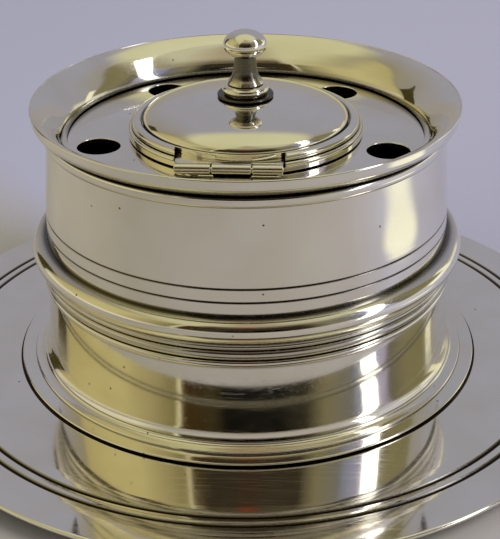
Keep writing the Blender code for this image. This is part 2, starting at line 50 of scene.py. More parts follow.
MM = 0.001
CAMERA_PLACE = (15.7 * MM, -241.7 * MM, 145.9 * MM)
CAMERA_DOWN = math.radians(27.37)
CAMERA_LEFT = math.radians(3.57)
CAMERA_LEAN = math.radians(-0.48)
FOCAL_LENGTH_MM = 84.14
FILM_LONG_SIDE_MM = 36.0


def put(name, data):
    """A new object in the scene, at the origin."""
    made = bpy.data.objects.new(name, data)
    bpy.context.scene.collection.objects.link(made)
    return made


camera_data = bpy.data.cameras.new("camera")
camera_data.lens = FOCAL_LENGTH_MM
camera_data.sensor_fit = "AUTO"
camera_data.sensor_width = FILM_LONG_SIDE_MM
camera_data.clip_start = 10 * MM
camera = put("camera", camera_data)
turn_left = Matrix.Rotation(CAMERA_LEFT, 4, "Z")
look_down = Matrix.Rotation(math.radians(90.0) - CAMERA_DOWN, 4, "X")
lean = Matrix.Rotation(CAMERA_LEAN, 4, "Z")
camera.matrix_world = Matrix.Translation(CAMERA_PLACE) @ turn_left @ look_down @ lean
bpy.context.scene.camera = camera

# Green baize, a thin felted wool cloth, glued under the board so that it doesn't scratch the desk.
# Its fibres lie every way and drink the light, and its cut edge is a little soft.

BAIZE_EDGE_MM = 0.3
FELT_FIBRE_MM = 0.25
LARGE_FACETS = 288
FILLET_STEPS = 5
GUARD_MM = 0.12
WELD_MM = 0.002
CREASE_ANGLE = math.radians(32.0)


def linear(colour):
    """A sRGB hex colour as linear red, green, blue and alpha."""
    shares = [int(colour[place : place + 2], 16) / 255 for place in (0, 2, 4)]
    return (*[s / 12.92 if s <= 0.04045 else ((s + 0.055) / 1.055) ** 2.4 for s in shares], 1.0)


def add_node(tree, kind, inputs=None, stops=None, **settings):
    """Add a node with its settings, and its inputs set to values or linked from other nodes' outputs.

    A colour ramp's stops are places and hex colours.
    """
    node = tree.nodes.new(kind)
    for name, value in settings.items():
        setattr(node, name, value)
    for name, value in (inputs or {}).items():
        socket = node.inputs[name]
        if isinstance(value, bpy.types.NodeSocket):
            tree.links.new(value, socket)
        else:
            socket.default_value = value
    for index, (place, colour) in enumerate(stops or ()):
        elements = node.color_ramp.elements
        element = elements[index] if index < len(elements) else elements.new(place)
        element.position = place
        element.color = linear(colour)
    return node


def new_material(name, even):
    """A node material, its Principled shader with what is even all over, and the place on the piece."""
    material = bpy.data.materials.new(name)
    material.use_nodes = True
    tree = material.node_tree
    shader = tree.nodes["Principled BSDF"]
    for socket, value in even.items():
        shader.inputs[socket].default_value = value
    return material, tree, shader, add_node(tree, "ShaderNodeTexCoord").outputs["Object"]


def span(node):
    """A round node's outer radius, bottom and top, in millimetres."""
    low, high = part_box(node)
    return high.y / MM, low.z / MM, high.z / MM


def soften(points):
    """Round the corners of an outline of (radius, height, fillet, tarnish) points, all in millimetres."""
    full = [(*point, 0.0, 0.0)[:4] for point in points]
    count = len(full)
    made = []
    for index, (r, z, fillet, tarnish_and_shade) in enumerate(full):
        here = Vector((r, z))
        back = Vector(full[index - 1][:2]) - here
        ahead = Vector(full[(index + 1) % count][:2]) - here
        if fillet <= 0 or back.length == 0 or ahead.length == 0:
            made.append((r, z, tarnish_and_shade))
            continue
        turning = math.pi - back.angle(ahead)
        reach = min(fillet * math.tan(turning / 2), 0.49 * min(back.length, ahead.length))
        start = here + back.normalized() * reach
        end = here + ahead.normalized() * reach
        for step in range(FILLET_STEPS + 1):
            share = step / FILLET_STEPS
            bend = start.lerp(here, share).lerp(here.lerp(end, share), share)
            made.append((bend.x, bend.y, tarnish_and_shade))
    return made


def guarded(points, closed):
    """Add a point near each end of a long straight run, so that its shading stays flat."""
    made = []
    runs = len(points) if closed else len(points) - 1
    for index in range(len(points)):
        made.append(points[index])
        if index >= runs:
            continue
        here = Vector(points[index][:2])
        there = Vector(points[(index + 1) % len(points)][:2])
        length = (there - here).length
        if length < 6 * GUARD_MM:
            continue
        tarnish_and_shade = min(points[index][2], points[(index + 1) % len(points)][2])
        for distance in (GUARD_MM, length - GUARD_MM):
            place = here.lerp(there, distance / length)
            made.append((place.x, place.y, tarnish_and_shade))
    return made


def open_tree(name, **inputs):
    """A geometry nodes tree with its inputs named, and what comes in through them."""
    tree = bpy.data.node_groups.new(name, "GeometryNodeTree")
    for socket, kind in inputs.items():
        socket = socket.replace("_", " ")
        tree.interface.new_socket(socket, in_out="INPUT", socket_type=f"NodeSocket{kind}")
    tree.interface.new_socket("Finish", in_out="INPUT", socket_type="NodeSocketMaterial")
    tree.interface.new_socket("Piece", in_out="OUTPUT", socket_type="NodeSocketGeometry")
    return tree, add_node(tree, "NodeGroupInput").outputs


def close_tree(tree, made, finish):
    """End a tree in real faces with their finish."""
    real = add_node(tree, "GeometryNodeRealizeInstances", {"Geometry": made}).outputs["Geometry"]
    coated = add_node(tree, "GeometryNodeSetMaterial", {"Geometry": real, "Material": finish})
    add_node(tree, "NodeGroupOutput", {"Piece": coated.outputs["Geometry"]})
    return tree


def turning_tree():
    """Geometry nodes that sweep an outline round the Z axis, as a lathe does."""
    sizes = {"Facets": "Int", "Path_radius": "Float", "Weld_distance": "Float"}
    tree, given = open_tree("turning", Outline="Geometry", **sizes)
    circle = {"Resolution": given["Facets"], "Radius": given["Path radius"]}
    path = add_node(tree, "GeometryNodeCurvePrimitiveCircle", circle, mode="RADIUS")
    upright = add_node(tree, "GeometryNodeSetCurveNormal", {"Curve": path.outputs["Curve"]}, mode="Z_UP")
    outline = add_node(tree, "GeometryNodeMeshToCurve", {"Mesh": given["Outline"]})
    sweep = {"Curve": upright.outputs["Curve"], "Profile Curve": outline.outputs["Curve"]}
    swept = add_node(tree, "GeometryNodeCurveToMesh", sweep)
    weld = {"Geometry": swept.outputs["Mesh"], "Distance": given["Weld distance"]}
    welded = add_node(tree, "GeometryNodeMergeByDistance", weld)
    smooth = add_node(tree, "GeometryNodeSetShadeSmooth", {"Geometry": welded.outputs["Geometry"]})
    return close_tree(tree, smooth.outputs["Geometry"], given["Finish"])


def set_inputs(modifier, tree, values):
    """Set a geometry nodes modifier's inputs by the names of their sockets."""
    for item in tree.interface.items_tree:
        if item.item_type == "SOCKET" and item.in_out == "INPUT" and item.name in values:
            modifier[item.identifier] = values[item.name]


def plain_mesh(piece, name, crease=CREASE_ANGLE):
    """Replace an object by a plain mesh of what its modifiers make, with its faces pointing out."""
    bpy.context.view_layer.update()
    made = bpy.data.meshes.new_from_object(piece.evaluated_get(bpy.context.evaluated_depsgraph_get()))
    made.transform(piece.matrix_world)
    bpy.data.objects.remove(piece)
    shape = bmesh.new()
    shape.from_mesh(made)
    bmesh.ops.recalc_face_normals(shape, faces=shape.faces)
    shape.to_mesh(made)
    shape.free()
    made.shade_smooth()
    made.set_sharp_from_angle(angle=crease)
    made.name = name
    return put(name, made)


TURNING = turning_tree()


def turn(name, outline, material, facets=LARGE_FACETS, closed=True):
    """Turn an outline about Z. Its points are radius and height, then fillet and tarnish where not zero."""
    points = guarded(soften(outline), closed)
    path_radius = max(point[0] for point in points)
    mesh = bpy.data.meshes.new(name)
    edges = [(index, index + 1) for index in range(len(points) - 1)]
    if closed:
        edges.append((len(points) - 1, 0))
    places = [((r - path_radius) * MM, -z * MM, 0.0) for r, z, _ in points]
    mesh.from_pydata(places, edges, [])
    tarnish_and_shade = mesh.attributes.new("tarnish_and_shade", "FLOAT", "POINT")
    tarnish_and_shade.data.foreach_set("value", [point[2] for point in points])
    piece = put(f"{name}_outline", mesh)
    lathe = piece.modifiers.new("turning", "NODES")
    lathe.node_group = TURNING
    values = {
        "Facets": facets,
        "Path radius": path_radius * MM,
        "Weld distance": WELD_MM * MM,
        "Finish": material,
    }
    set_inputs(lathe, TURNING, values)
    return plain_mesh(piece, name)


def rod(radius, low, high, edge=0.0):
    """The outline of a plain disc, rod or drill."""
    return [(0.0, high), (radius, high, edge), (radius, low, edge), (0.0, low)]


def dress(piece, node, body="root"):
    """The dressed piece takes its node's place on its body."""
    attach(piece, body)
    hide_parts(node)
    return piece


wool = {"Roughness": 0.95, "Sheen Weight": 0.4}
baize_cloth, tree, shader, place = new_material("wool_baize", wool)
felting = {"Vector": place, "Scale": 1.0 / (FELT_FIBRE_MM * MM), "Detail": 4.0, "Roughness": 0.6}
fibre = add_node(tree, "ShaderNodeTexNoise", felting).outputs["Fac"]
dyed = add_node(tree, "ShaderNodeValToRGB", {"Fac": fibre}, [(0.3, "0F2B18"), (0.7, "2C5936")])
tree.links.new(dyed.outputs["Color"], shader.inputs["Base Color"])
nap = add_node(tree, "ShaderNodeBump", {"Height": fibre, "Distance": 0.1 * MM, "Strength": 0.8})
tree.links.new(nap.outputs["Normal"], shader.inputs["Normal"])

radius, bottom, top = span("baize_pad")
baize = turn("baize_cloth_pad", rod(radius, bottom, top, BAIZE_EDGE_MM), baize_cloth, closed=False)
dress(baize, "baize_pad")

# The board under the base: a turned disc of stained hardwood, waxed and hardly ever seen.
# It stiffens the thin silver. Its grain runs straight across, fine and dark.

BOARD_EDGE_MM = 0.5
GRAIN_WIDTH_MM = 1.4
GRAIN_STRETCH = 0.06

stained_wood, tree, shader, place = new_material("stained_beech", {"Roughness": 0.45})
along = {"Vector": place, "Scale": (GRAIN_STRETCH, 1.0, 1.0)}
along = add_node(tree, "ShaderNodeMapping", along).outputs["Vector"]
rings = {"Vector": along, "Scale": 1.0 / (GRAIN_WIDTH_MM * MM), "Detail": 6.0, "Roughness": 0.6}
grain = add_node(tree, "ShaderNodeTexNoise", rings).outputs["Fac"]
stain = add_node(tree, "ShaderNodeValToRGB", {"Fac": grain}, [(0.25, "1E0F08"), (0.75, "4A2A18")])
tree.links.new(stain.outputs["Color"], shader.inputs["Base Color"])
pores = add_node(tree, "ShaderNodeBump", {"Height": grain, "Distance": 0.05 * MM, "Strength": 0.5})
tree.links.new(pores.outputs["Normal"], shader.inputs["Normal"])

radius, bottom, top = span("base_board")
board = turn("turned_board", rod(radius, bottom, top, BOARD_EDGE_MM), stained_wood, closed=False)
dress(board, "base_board")

# The base plate: sterling silver sheet, spun flat, with a rolled edge and two chased reeds.
# Hand polish leaves it a near mirror, with fine hairlines, a few dark pits and tarnish in the reeds.

REED_INSET_MM = 8.8
REED_PITCH_MM = 2.35
REED_WIDTH_MM = 1.0
REED_DEPTH_MM = 0.35
REED_SINK_MM = 0.06
REED_SHOULDER_MM = 2.4
PLANISHING_MM = 9.0
CLOUDING_MM = 14.0
PIT_SPACING_MM = 5.0
PIT_SHARE = 0.055
PIT_CHOSEN = 0.53
HAIRLINE_MM = 0.16
HAIRLINE_STRETCH = 0.012
HAIRLINE_TURNS = (17.0, 71.0, 128.0)
HAIRLINE_LEAN = math.radians(40.0)
HAIRLINE_CUT = {"From Min": 0.70, "From Max": 0.76, "To Min": 0.0, "To Max": 0.1}
WEAR = {"From Min": 0.3, "From Max": 0.75}
TARNISH_AND_SHADE_HAZE = 0.2
FOOT_SHADE_MM = 0.4
GAP_MM = 0.3
DRUM_STEP_MM = 0.3


def polished_silver(name, polish=0.05, haze=0.04, ripple_mm=0.012, pits=0.85):
    """Hand-polished sterling silver: a soft mirror that ripples where the hammer and the lathe left it."""
    material, tree, shader, place = new_material(name, {"Metallic": 1.0})
    tarnish_and_shade = add_node(tree, "ShaderNodeAttribute", attribute_name="tarnish_and_shade").outputs["Fac"]
    spots = {"Vector": place, "Scale": 1.0 / (PIT_SPACING_MM * MM)}
    cells = add_node(tree, "ShaderNodeTexVoronoi", spots)
    size = {"Value": cells.outputs["Distance"], "From Min": PIT_SHARE, "From Max": PIT_SHARE * 0.6}
    spot = add_node(tree, "ShaderNodeMapRange", {**size, "To Min": 0.0, "To Max": pits}).outputs["Result"]
    draw = {0: cells.outputs["Color"], 1: PIT_CHOSEN}
    few = add_node(tree, "ShaderNodeMath", draw, operation="GREATER_THAN").outputs[0]
    pit = add_node(tree, "ShaderNodeMath", {0: spot, 1: few}, operation="MULTIPLY").outputs[0]
    # The dark colour is laid on by each point's tarnish value, which holds real tarnish in hollows and
    # painted shade in recesses and joints, and by the pits.
    tarnish_shade_and_pits = add_node(tree, "ShaderNodeMath", {0: tarnish_and_shade, 1: pit}, operation="MAXIMUM").outputs[0]
    clouds = {"Vector": place, "Scale": 1.0 / (CLOUDING_MM * MM), "Detail": 2.0}
    cloud = add_node(tree, "ShaderNodeTexNoise", clouds).outputs["Fac"]
    unshaded = add_node(tree, "ShaderNodeValToRGB", {"Fac": cloud}, [(0.35, "F8F5EC"), (0.7, "F1ECDF")])
    colours = {"Factor": tarnish_shade_and_pits, 6: unshaded.outputs["Color"], 7: linear("241A10")}
    skin = add_node(tree, "ShaderNodeMix", colours, data_type="RGBA")
    tree.links.new(skin.outputs[2], shader.inputs["Base Color"])
    hairline = 0.0
    for degrees in HAIRLINE_TURNS:
        turned = (math.radians(degrees), HAIRLINE_LEAN, math.radians(degrees))
        drawn = {"Vector": place, "Rotation": turned, "Scale": (HAIRLINE_STRETCH, 1.0, 1.0)}
        drawn = add_node(tree, "ShaderNodeMapping", drawn).outputs["Vector"]
        strokes = {"Vector": drawn, "Scale": 1.0 / (HAIRLINE_MM * MM), "Detail": 0.0}
        stroke = add_node(tree, "ShaderNodeTexNoise", strokes).outputs["Fac"]
        scratch = add_node(tree, "ShaderNodeMapRange", {"Value": stroke, **HAIRLINE_CUT}).outputs["Result"]
        deepest = {0: hairline, 1: scratch}
        hairline = add_node(tree, "ShaderNodeMath", deepest, operation="MAXIMUM").outputs[0]
    worn = {"Value": cloud, **WEAR, "To Min": polish, "To Max": polish + haze}
    worn = add_node(tree, "ShaderNodeMapRange", worn).outputs["Result"]
    marked = add_node(tree, "ShaderNodeMath", {0: worn, 1: hairline}, operation="ADD").outputs[0]
    dull = {0: tarnish_shade_and_pits, 1: TARNISH_AND_SHADE_HAZE, 2: marked}
    rough = add_node(tree, "ShaderNodeMath", dull, operation="MULTIPLY_ADD").outputs[0]
    tree.links.new(rough, shader.inputs["Roughness"])
    hammering = {"Vector": place, "Scale": 1.0 / (PLANISHING_MM * MM), "Detail": 1.0}
    dents = add_node(tree, "ShaderNodeTexNoise", hammering).outputs["Fac"]
    ripple = add_node(tree, "ShaderNodeBump", {"Height": dents, "Distance": ripple_mm * MM})
    tree.links.new(ripple.outputs["Normal"], shader.inputs["Normal"])
    return material


def chased(radius, height, inside, outside):
    """A groove chased into a flat top, from the middle outwards, with the metal sunk a little beside it."""
    half = REED_WIDTH_MM / 2
    return [
        (radius - half - inside, height),
        (radius - half - inside / 2, height - REED_SINK_MM * 0.3),
        (radius - half - 0.1, height - REED_SINK_MM * 0.9),
        (radius - half, height - REED_SINK_MM, 0.08, 0.5),
        (radius - half * 0.4, height - REED_DEPTH_MM, 0.12, 1.0),
        (radius + half * 0.4, height - REED_DEPTH_MM, 0.12, 1.0),
        (radius + half, height - REED_SINK_MM, 0.08, 0.5),
        (radius + half + 0.1, height - REED_SINK_MM * 0.9),
        (radius + half + outside / 2, height - REED_SINK_MM * 0.3),
        (radius + half + outside, height),
    ]


def bow(centre_r, centre_z, reach, rise, start, end, count, tarnish_and_shade=(0.0, 0.0)):
    """Points on an ellipse arc from start to end, in degrees from outwards towards up."""
    made = []
    for index in range(count):
        share = index / (count - 1)
        angle = math.radians(start + (end - start) * share)
        point = (centre_r + reach * math.cos(angle), centre_z + rise * math.sin(angle))
        made.append((*point, 0.0, tarnish_and_shade[0] + (tarnish_and_shade[1] - tarnish_and_shade[0]) * share))
    return made


base_silver = polished_silver("sterling_base", polish=0.045)
BASE_RADIUS_MM, bottom, BASE_TOP_MM = span("base_plate")
DRUM_RADIUS_MM = span("upper_drum")[0] + DRUM_STEP_MM
outer_reed = BASE_RADIUS_MM - REED_INSET_MM
half = (BASE_TOP_MM - bottom) / 2
foot_radius = span("foot_moulding")[0]
# Painted shade: the plate is darkened under the foot and in a thin band just outside the foot's edge.
outline = [(0.0, BASE_TOP_MM, 0.0, 1.0), (foot_radius + FOOT_SHADE_MM, BASE_TOP_MM, 0.0, 1.0)]
outline += [(foot_radius + FOOT_SHADE_MM + 0.08, BASE_TOP_MM)]
land = (REED_PITCH_MM - REED_WIDTH_MM) / 2 - 0.02
outline += chased(outer_reed - REED_PITCH_MM, BASE_TOP_MM, REED_SHOULDER_MM, land)
outline += chased(outer_reed, BASE_TOP_MM, land, REED_SHOULDER_MM)
outline += bow(BASE_RADIUS_MM - half, BASE_TOP_MM - half, half, half, 90.0, -90.0, 17)
outline += [(0.0, bottom)]
dress(turn("spun_base_plate", outline, base_silver, facets=480, closed=False), "base_plate")

# The foot moulding: a thin flange, a small bead and a low cavetto, drawn in one strip and soldered
# under the drum's edge. It hides the joint with the base. Polish has worn its crests bright.

FLANGE_MM = 0.55
BEAD_SPREAD_MM = 4.2
BEAD_MM = 0.3
LAND_MM = 0.3
SEAM_MM = 0.04

foot_silver = polished_silver("sterling_foot", polish=0.055)
radius, bottom, top = span("foot_moulding")
bore = DRUM_RADIUS_MM + GAP_MM
flange_top = bottom + FLANGE_MM
bead_r = DRUM_RADIUS_MM + BEAD_SPREAD_MM - BEAD_MM
bead_z = flange_top + BEAD_MM
land_r = span("lower_drum")[0] + LAND_MM
half = FLANGE_MM / 2
outline = [(bore, top, 0.0, 0.6), (land_r, top, 0.12)]
outline += bow(bead_r, top, land_r - bead_r, bead_z + BEAD_MM - top, 8.0, 82.0, 12)
outline += bow(bead_r, bead_z, BEAD_MM, BEAD_MM, 95.0, 0.0, 9)
outline += [(bead_r + BEAD_MM, flange_top, 0.06, 0.6)]
outline += bow(radius - half, flange_top - half, half, half, 90.0, -60.0, 11)
# Painted shade: the flange's lower edge and its underside, against the plate, are darkened.
outline += [(radius - half, BASE_TOP_MM + SEAM_MM, 0.0, 0.8), (bore, BASE_TOP_MM + SEAM_MM)]
dress(turn("drawn_foot_moulding", outline, foot_silver, facets=384), "foot_moulding")

# The lower drum: sheet silver rolled into a cone that spreads a little downwards, with its edge turned
# out over the foot. Its bare inside has never been polished, and is brown with oxide.

TAPER = math.radians(4.7)
FLARE_MM = 0.55
FLARE_HEIGHT_MM = 2.1
FLARE_STEPS = 14
SHEET_MM = 0.9
BELT_BOTTOM_MM = span("belt_moulding")[1]

drum_silver = polished_silver("sterling_drum", polish=0.05, haze=0.05)
radius, bottom, top = span("lower_drum")
shoulder = BELT_BOTTOM_MM - SEAM_MM
edge = span("foot_moulding")[2] + SEAM_MM


def spread(height):
    """Outer radius of the lower drum at a height."""
    flare = max((edge + FLARE_HEIGHT_MM - height) / FLARE_HEIGHT_MM, 0.0)
    return DRUM_RADIUS_MM + (shoulder - height) * math.tan(TAPER) + FLARE_MM * flare**2


inner = DRUM_RADIUS_MM - SHEET_MM
flare_top = edge + FLARE_HEIGHT_MM
outline = [(DRUM_RADIUS_MM - DRUM_STEP_MM, z, 0.0, 0.8) for z in (top, shoulder)]
outline += [(DRUM_RADIUS_MM, shoulder, 0.0, 0.5), (spread(shoulder - 0.5), shoulder - 0.5)]
for step in range(FLARE_STEPS):
    height = flare_top - FLARE_HEIGHT_MM * step / FLARE_STEPS
    outline.append((spread(height), height))
outline += [(spread(edge), edge, 0.1, 0.3), (DRUM_RADIUS_MM, edge, 0.0, 0.8), (DRUM_RADIUS_MM, bottom)]
inside = [(inner, bottom), (inner, edge + SHEET_MM), (spread(flare_top) - SHEET_MM, flare_top)]
inside += [(inner, shoulder), (inner, top)]
outline += [(r, z, 0.0, 1.0) for r, z in inside]
dress(turn("rolled_lower_drum", outline, drum_silver, facets=384), "lower_drum")

# The belt moulding: half-round wire over three fine reeds, drawn in one strip and soldered over the joint
# of the two drums. Tarnish stays in the quirks between the reeds.

REED_HEIGHTS_MM = (1.7, 2.25, 1.7)
REED_REACHES_MM = (0.8, 1.05, 1.35)
REED_TARNISH = (0.05, 0.3, 0.3)
QUIRK_REACH_MM = 0.3
QUIRK_MM = 0.16
TORUS_REACH_MM = 2.85

belt_silver = polished_silver("sterling_belt", polish=0.06)
radius, bottom, top = span("belt_moulding")
UPPER_RADIUS_MM = DRUM_RADIUS_MM - DRUM_STEP_MM
bore = UPPER_RADIUS_MM + SEAM_MM
root = DRUM_RADIUS_MM + QUIRK_REACH_MM
torus_low = bottom + sum(REED_HEIGHTS_MM)
middle = (torus_low + top) / 2
reach = DRUM_RADIUS_MM + TORUS_REACH_MM - root
outline = [(bore, top, 0.0, 0.9)]
outline += bow(root, middle, reach, top - middle, 90.0, 72.0, 6, tarnish_and_shade=(0.85, 0.3))
outline += bow(root, middle, reach, top - middle, 68.0, 44.0, 7, tarnish_and_shade=(0.25, 0.0))
outline += bow(root, middle, reach, top - middle, 40.0, -70.0, 27)
outline += bow(root, middle, reach, top - middle, -74.0, -86.0, 4, tarnish_and_shade=(0.2, 0.7))
reed_top = torus_low
for place in (2, 1, 0):
    height, darkness = REED_HEIGHTS_MM[place], REED_TARNISH[place]
    reach = DRUM_RADIUS_MM + REED_REACHES_MM[place] - root
    outline += [(root - 0.1, reed_top, 0.0, 1.0)]
    rise = height / 2 - QUIRK_MM
    for start, end, count, tarnish_and_shade in (
        (84.0, 62.0, 4, (1.0, darkness)),
        (58.0, -58.0, 15, (darkness, darkness)),
        (-62.0, -84.0, 4, (darkness, 1.0)),
    ):
        outline += bow(root, reed_top - height / 2, reach, rise, start, end, count, tarnish_and_shade)
    reed_top -= height
outline += [(root - 0.1, bottom, 0.0, 0.7), (bore, bottom, 0.0, 0.9)]
dress(turn("drawn_belt_moulding", outline, belt_silver, facets=384), "belt_moulding")

# The upper drum: the same sheet, drawn in towards the lip, with two incised lines and a bead at its top.
# Years of handling have given it a softer polish than the base.

WAIST_DRAW_MM = 1.1
UPPER_LINE_MM = 2.9
UPPER_LINE_PITCH_MM = 2.7
LINE_WIDTH_MM = 0.42
LINE_DEPTH_MM = 0.14
CAP_BEAD_MM = 1.9
CAP_REACH_MM = 0.35
WAIST_STEPS = 24

upper_silver = polished_silver("sterling_upper_drum", polish=0.06, haze=0.05)
radius, bottom, top = span("upper_drum")
BELT_TOP_MM = span("belt_moulding")[2]


def waist(height):
    """Outer radius of the upper drum at a height."""
    share = min(max((height - BELT_TOP_MM) / (top + GAP_MM - BELT_TOP_MM), 0.0), 1.0)
    return UPPER_RADIUS_MM - WAIST_DRAW_MM * (1.0 - math.cos(math.pi * share)) / 2


def incised(radius, height):
    """A line cut into an upright wall, from the top down."""
    half = LINE_WIDTH_MM / 2
    return [
        (radius, height + half + 0.1),
        (radius, height + half, 0.08, 0.5),
        (radius - LINE_DEPTH_MM, height, 0.08, 1.0),
        (radius, height - half, 0.08, 0.5),
        (radius, height - half - 0.1),
    ]


low_line = BELT_TOP_MM + UPPER_LINE_MM
high_line = low_line + UPPER_LINE_PITCH_MM
bead_low = top - CAP_BEAD_MM
wall = bead_low - high_line - 1.0
heights = [bead_low - wall * step / WAIST_STEPS for step in range(WAIST_STEPS + 1)]
outline = [(waist(top), top, 0.0, 1.0)]
half = CAP_BEAD_MM / 2
# The bead's top, just under the lip, is darkened.
outline += bow(waist(top), top - half, CAP_REACH_MM, half - 0.05, 84.0, 50.0, 5, tarnish_and_shade=(0.7, 0.0))
outline += bow(waist(top), top - half, CAP_REACH_MM, half - 0.05, 46.0, -80.0, 15)
outline += [(waist(bead_low), bead_low, 0.0, 0.6), (waist(bead_low - 0.15), bead_low - 0.15)]
outline += [(waist(height), height) for height in heights[1:]]
for height in (high_line, low_line):
    outline += incised(waist(height), height)
outline += [(waist(BELT_TOP_MM + 0.7), BELT_TOP_MM + 0.7), (UPPER_RADIUS_MM, BELT_TOP_MM, 0.0, 0.6)]
outline += [(UPPER_RADIUS_MM, bottom, 0.0, 0.8)]
inside = [(waist(height) - SHEET_MM, height, 0.0, 1.0) for height in (bottom, low_line, *reversed(heights))]
dress(turn("drawn_upper_drum", outline + inside, upper_silver, facets=384), "upper_drum")
WAIST_MM = UPPER_RADIUS_MM - WAIST_DRAW_MM

# The lip: a heavy flared ring, turned, that drops inside the drum's mouth and holds the pen plate down.
# Its inside is the brightest mirror on the piece, and its edge is thin and softly rounded.

LIP_FLARE_MM = 2.6
LIP_LEDGE_MM = 3.35
RIM_EDGE_MM = 0.3
LIP_THROAT_SHARE = 0.2

lip_silver = polished_silver("sterling_lip", polish=0.035, haze=0.03, pits=0.6)
radius, bottom, top = span("lip_moulding")
LIP_SKIRT_MM = WAIST_MM - SHEET_MM - GAP_MM
throat = LIP_SKIRT_MM - LIP_LEDGE_MM
lip_bottom = span("upper_drum")[2] + GAP_MM
inner_shares = (
    (0.0, 0.0), (0.02, 0.09), (0.06, 0.19), (0.12, 0.29), (0.20, 0.39), (0.30, 0.50), (0.41, 0.615),
    (0.52, 0.72), (0.64, 0.815), (0.76, 0.895), (0.87, 0.95), (0.94, 0.98),
)
outer_shares = ((0.98, 0.80), (0.95, 0.60), (0.84, 0.42), (0.60, 0.26), (0.25, 0.12))
LIP_SHADE_SHARES = (0.5, 0.3)
RIM_RADIUS_MM = WAIST_MM + LIP_FLARE_MM


def curve_through(points, steps):
    """A smooth curve through points, by Catmull and Rom's rule."""
    made = []
    for index in range(len(points) - 1):
        before = Vector(points[max(index - 1, 0)])
        here, there = Vector(points[index]), Vector(points[index + 1])
        after = Vector(points[min(index + 2, len(points) - 1)])
        for step in range(steps):
            t = step / steps
            place = 2 * here + (there - before) * t
            place += (2 * before - 5 * here + 4 * there - after) * t * t
            place += (3 * here - before - 3 * there + after) * t * t * t
            made.append((place.x / 2, place.y / 2))
    return made + [tuple(points[-1])]


def between(shares, r_low, r_high, z_low, z_high):
    """Points at shares of the way between two radii and two heights."""
    return [(r_low + (r_high - r_low) * u, z_low + (z_high - z_low) * v) for u, v in shares]


edge = bow(RIM_RADIUS_MM - RIM_EDGE_MM, top - RIM_EDGE_MM, RIM_EDGE_MM, RIM_EDGE_MM, 100.0, -20.0, 13)
outer = between(outer_shares, WAIST_MM, RIM_RADIUS_MM, lip_bottom, top)
outer = curve_through([edge[-1][:2], *outer, (WAIST_MM, lip_bottom)], 8)[1:]
# Painted shade: the outer side darkens downwards into the drum's mouth, from the unshaded height to the dark
# one.
unshaded, dark = [lip_bottom + share * (top - lip_bottom) for share in LIP_SHADE_SHARES]
outer = [(r, z, 0.0, 0.95 * min(max((unshaded - z) / (unshaded - dark), 0.0), 1.0)) for r, z in outer]
inner = curve_through(between(inner_shares, throat, RIM_RADIUS_MM, bottom, top) + [edge[0][:2]], 8)[:-1]
# Painted shade: the inner slope darkens towards the throat, where the lip meets the pen plate.
throat_rise = LIP_THROAT_SHARE * (top - bottom)
inner = [(r, z, 0.0, 0.9 * min(max(1.0 - (z - bottom) / throat_rise, 0.0), 1.0)) for r, z in inner]
outline = edge + outer + [(LIP_SKIRT_MM, lip_bottom, 0.0, 0.8), (LIP_SKIRT_MM, bottom, 0.0, 0.8)] + inner
dress(turn("turned_lip", outline, lip_silver, facets=384), "lip_moulding")

# The pen plate: a sunk disc with the ink mouth and four punched pen holes, each with its burr rounded off.
# The punches stand on one circle, a little under a fifth of it apart, and skip the hinge's place.

PEN_CIRCLE_MM = 30.4
PEN_HOLE_MM = 4.3
HOLE_EDGE_MM = 0.22
HOLE_CREASE = math.radians(8.0)
SMALL_FACETS = 96
PLACES = 5
PLACE_SPACING = math.radians(71.0)
FLANGE_LAP_MM = 0.6


def piercing_tree():
    """Geometry nodes that punch a plate at places round a circle, but not at the middle one in front."""
    sizes = {"Places": "Int", "Circle_radius": "Float", "First_place": "Float", "Turn": "Float"}
    tree, given = open_tree("piercing", Plate="Geometry", Punch="Object", **sizes)
    circle = {"Resolution": given["Places"], "Radius": given["Circle radius"]}
    circle = {**circle, "Start Angle": given["First place"], "Sweep Angle": given["Turn"]}
    places = add_node(tree, "GeometryNodeCurveArc", circle, mode="RADIUS")
    index = add_node(tree, "GeometryNodeInputIndex").outputs["Index"]
    middle = {2: index, 3: PLACES // 2}
    hinge = add_node(tree, "FunctionNodeCompare", middle, data_type="INT", operation="EQUAL")
    pens = {"Geometry": places.outputs["Curve"], "Selection": hinge.outputs["Result"]}
    pens = add_node(tree, "GeometryNodeDeleteGeometry", pens, domain="POINT")
    punch = add_node(tree, "GeometryNodeObjectInfo", {"Object": given["Punch"]}).outputs["Geometry"]
    punches = {"Points": pens.outputs["Geometry"], "Instance": punch}
    punches = add_node(tree, "GeometryNodeInstanceOnPoints", punches)
    real = add_node(tree, "GeometryNodeRealizeInstances", {"Geometry": punches.outputs["Instances"]})
    cut = {"Mesh 1": given["Plate"], "Mesh 2": real.outputs["Geometry"]}
    cut = add_node(tree, "GeometryNodeMeshBoolean", cut, operation="DIFFERENCE", solver="EXACT")
    return close_tree(tree, cut.outputs["Mesh"], given["Finish"])


